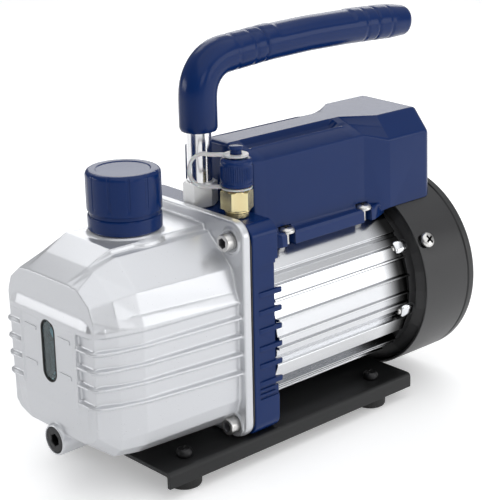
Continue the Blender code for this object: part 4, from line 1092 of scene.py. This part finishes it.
def area_light(name, position, size, power):
    """Rectangular light that looks at the middle of the pump."""
    data = bpy.data.lights.new(name, "AREA")
    data.shape = "RECTANGLE"
    data.size, data.size_y = size
    data.energy = power
    item = linked(name, data)
    item.location = position
    item.rotation_euler = (Vector(LIT_POINT) - Vector(position)).to_track_quat("-Z", "Y").to_euler()


def floor():
    """Pale floor with a faint glow; reflections left of the pump don't see the glow, so its front stays grey."""
    shape = bmesh.new()
    corners = ((-1, -1), (1, -1), (1, 1), (-1, 1))
    shape.faces.new([shape.verts.new((x * FLOOR_REACH, y * FLOOR_REACH, 0)) for x, y in corners])
    mesh = bpy.data.meshes.new("floor")
    shape.to_mesh(mesh)
    shape.free()
    mesh.materials.append(PALE)
    tree = PALE.node_tree
    shader = tree.nodes["Principled BSDF"]
    shader.inputs["Emission Color"].default_value = (1, 1, 1, 1)
    ray = add(tree, "LightPath")
    place = add(tree, "NewGeometry")
    split = add(tree, "SeparateXYZ")
    link(place, "Position", split, "Vector")
    mirrored = add(tree, "MapRange", From_Min=-0.2, From_Max=0, To_Max=FLOOR_GLOW)
    link(split, "X", mirrored, "Value")
    strength = add(tree, "Mix", A=FLOOR_GLOW)
    link(ray, "Is Glossy Ray", strength, "Factor")
    link(mirrored, "Result", strength, "B")
    link(strength, "Result", shader, "Emission Strength")
    linked("floor", mesh)


def sky():
    """White backdrop for the camera; as a light it grows upward and toward the rear of the pump."""
    world_look = bpy.data.worlds.new("studio")
    world_look.use_nodes = True
    tree = world_look.node_tree
    background = tree.nodes["Background"]
    background.inputs["Color"].default_value = (0.97, 0.98, 1, 1)
    direction = add(tree, "TexCoord")
    split = add(tree, "SeparateXYZ")
    link(direction, "Generated", split, "Vector")
    rise = add(tree, "MapRange", From_Min=0, From_Max=0.85, To_Min=0.15, To_Max=0.72)
    link(split, "Z", rise, "Value")
    across = add(tree, "MapRange", From_Min=-0.8, From_Max=0.8, To_Min=0.6, To_Max=1.15)
    link(split, "X", across, "Value")
    both = add(tree, "Math", {"operation": "MULTIPLY"})
    link(rise, "Result", both, 0)
    link(across, "Result", both, 1)
    ray = add(tree, "LightPath")
    choice = add(tree, "Mix", B=1)
    link(ray, "Is Camera Ray", choice, "Factor")
    link(both, "Value", choice, "A")
    link(choice, "Result", background, "Strength")
    bpy.context.scene.world = world_look


def studio():
    floor()
    sky()
    for name, position, size, power in LIGHTS:
        area_light(name, position, size, power)
    bpy.context.scene.view_settings.view_transform = "Standard"


def paint_cad():
    for material, nodes in CAD_FINISH.items():
        for node in nodes:
            for slot in frame["nodes"][node].material_slots:
                slot.material = material


for make in (paint_cad, casing, sight_glass, level_marks, drain, oil_cap, centre_frame, inlet, handle, motor,
             fan_cover, box, base, screws, weigh_normals, camera, studio):
    make()
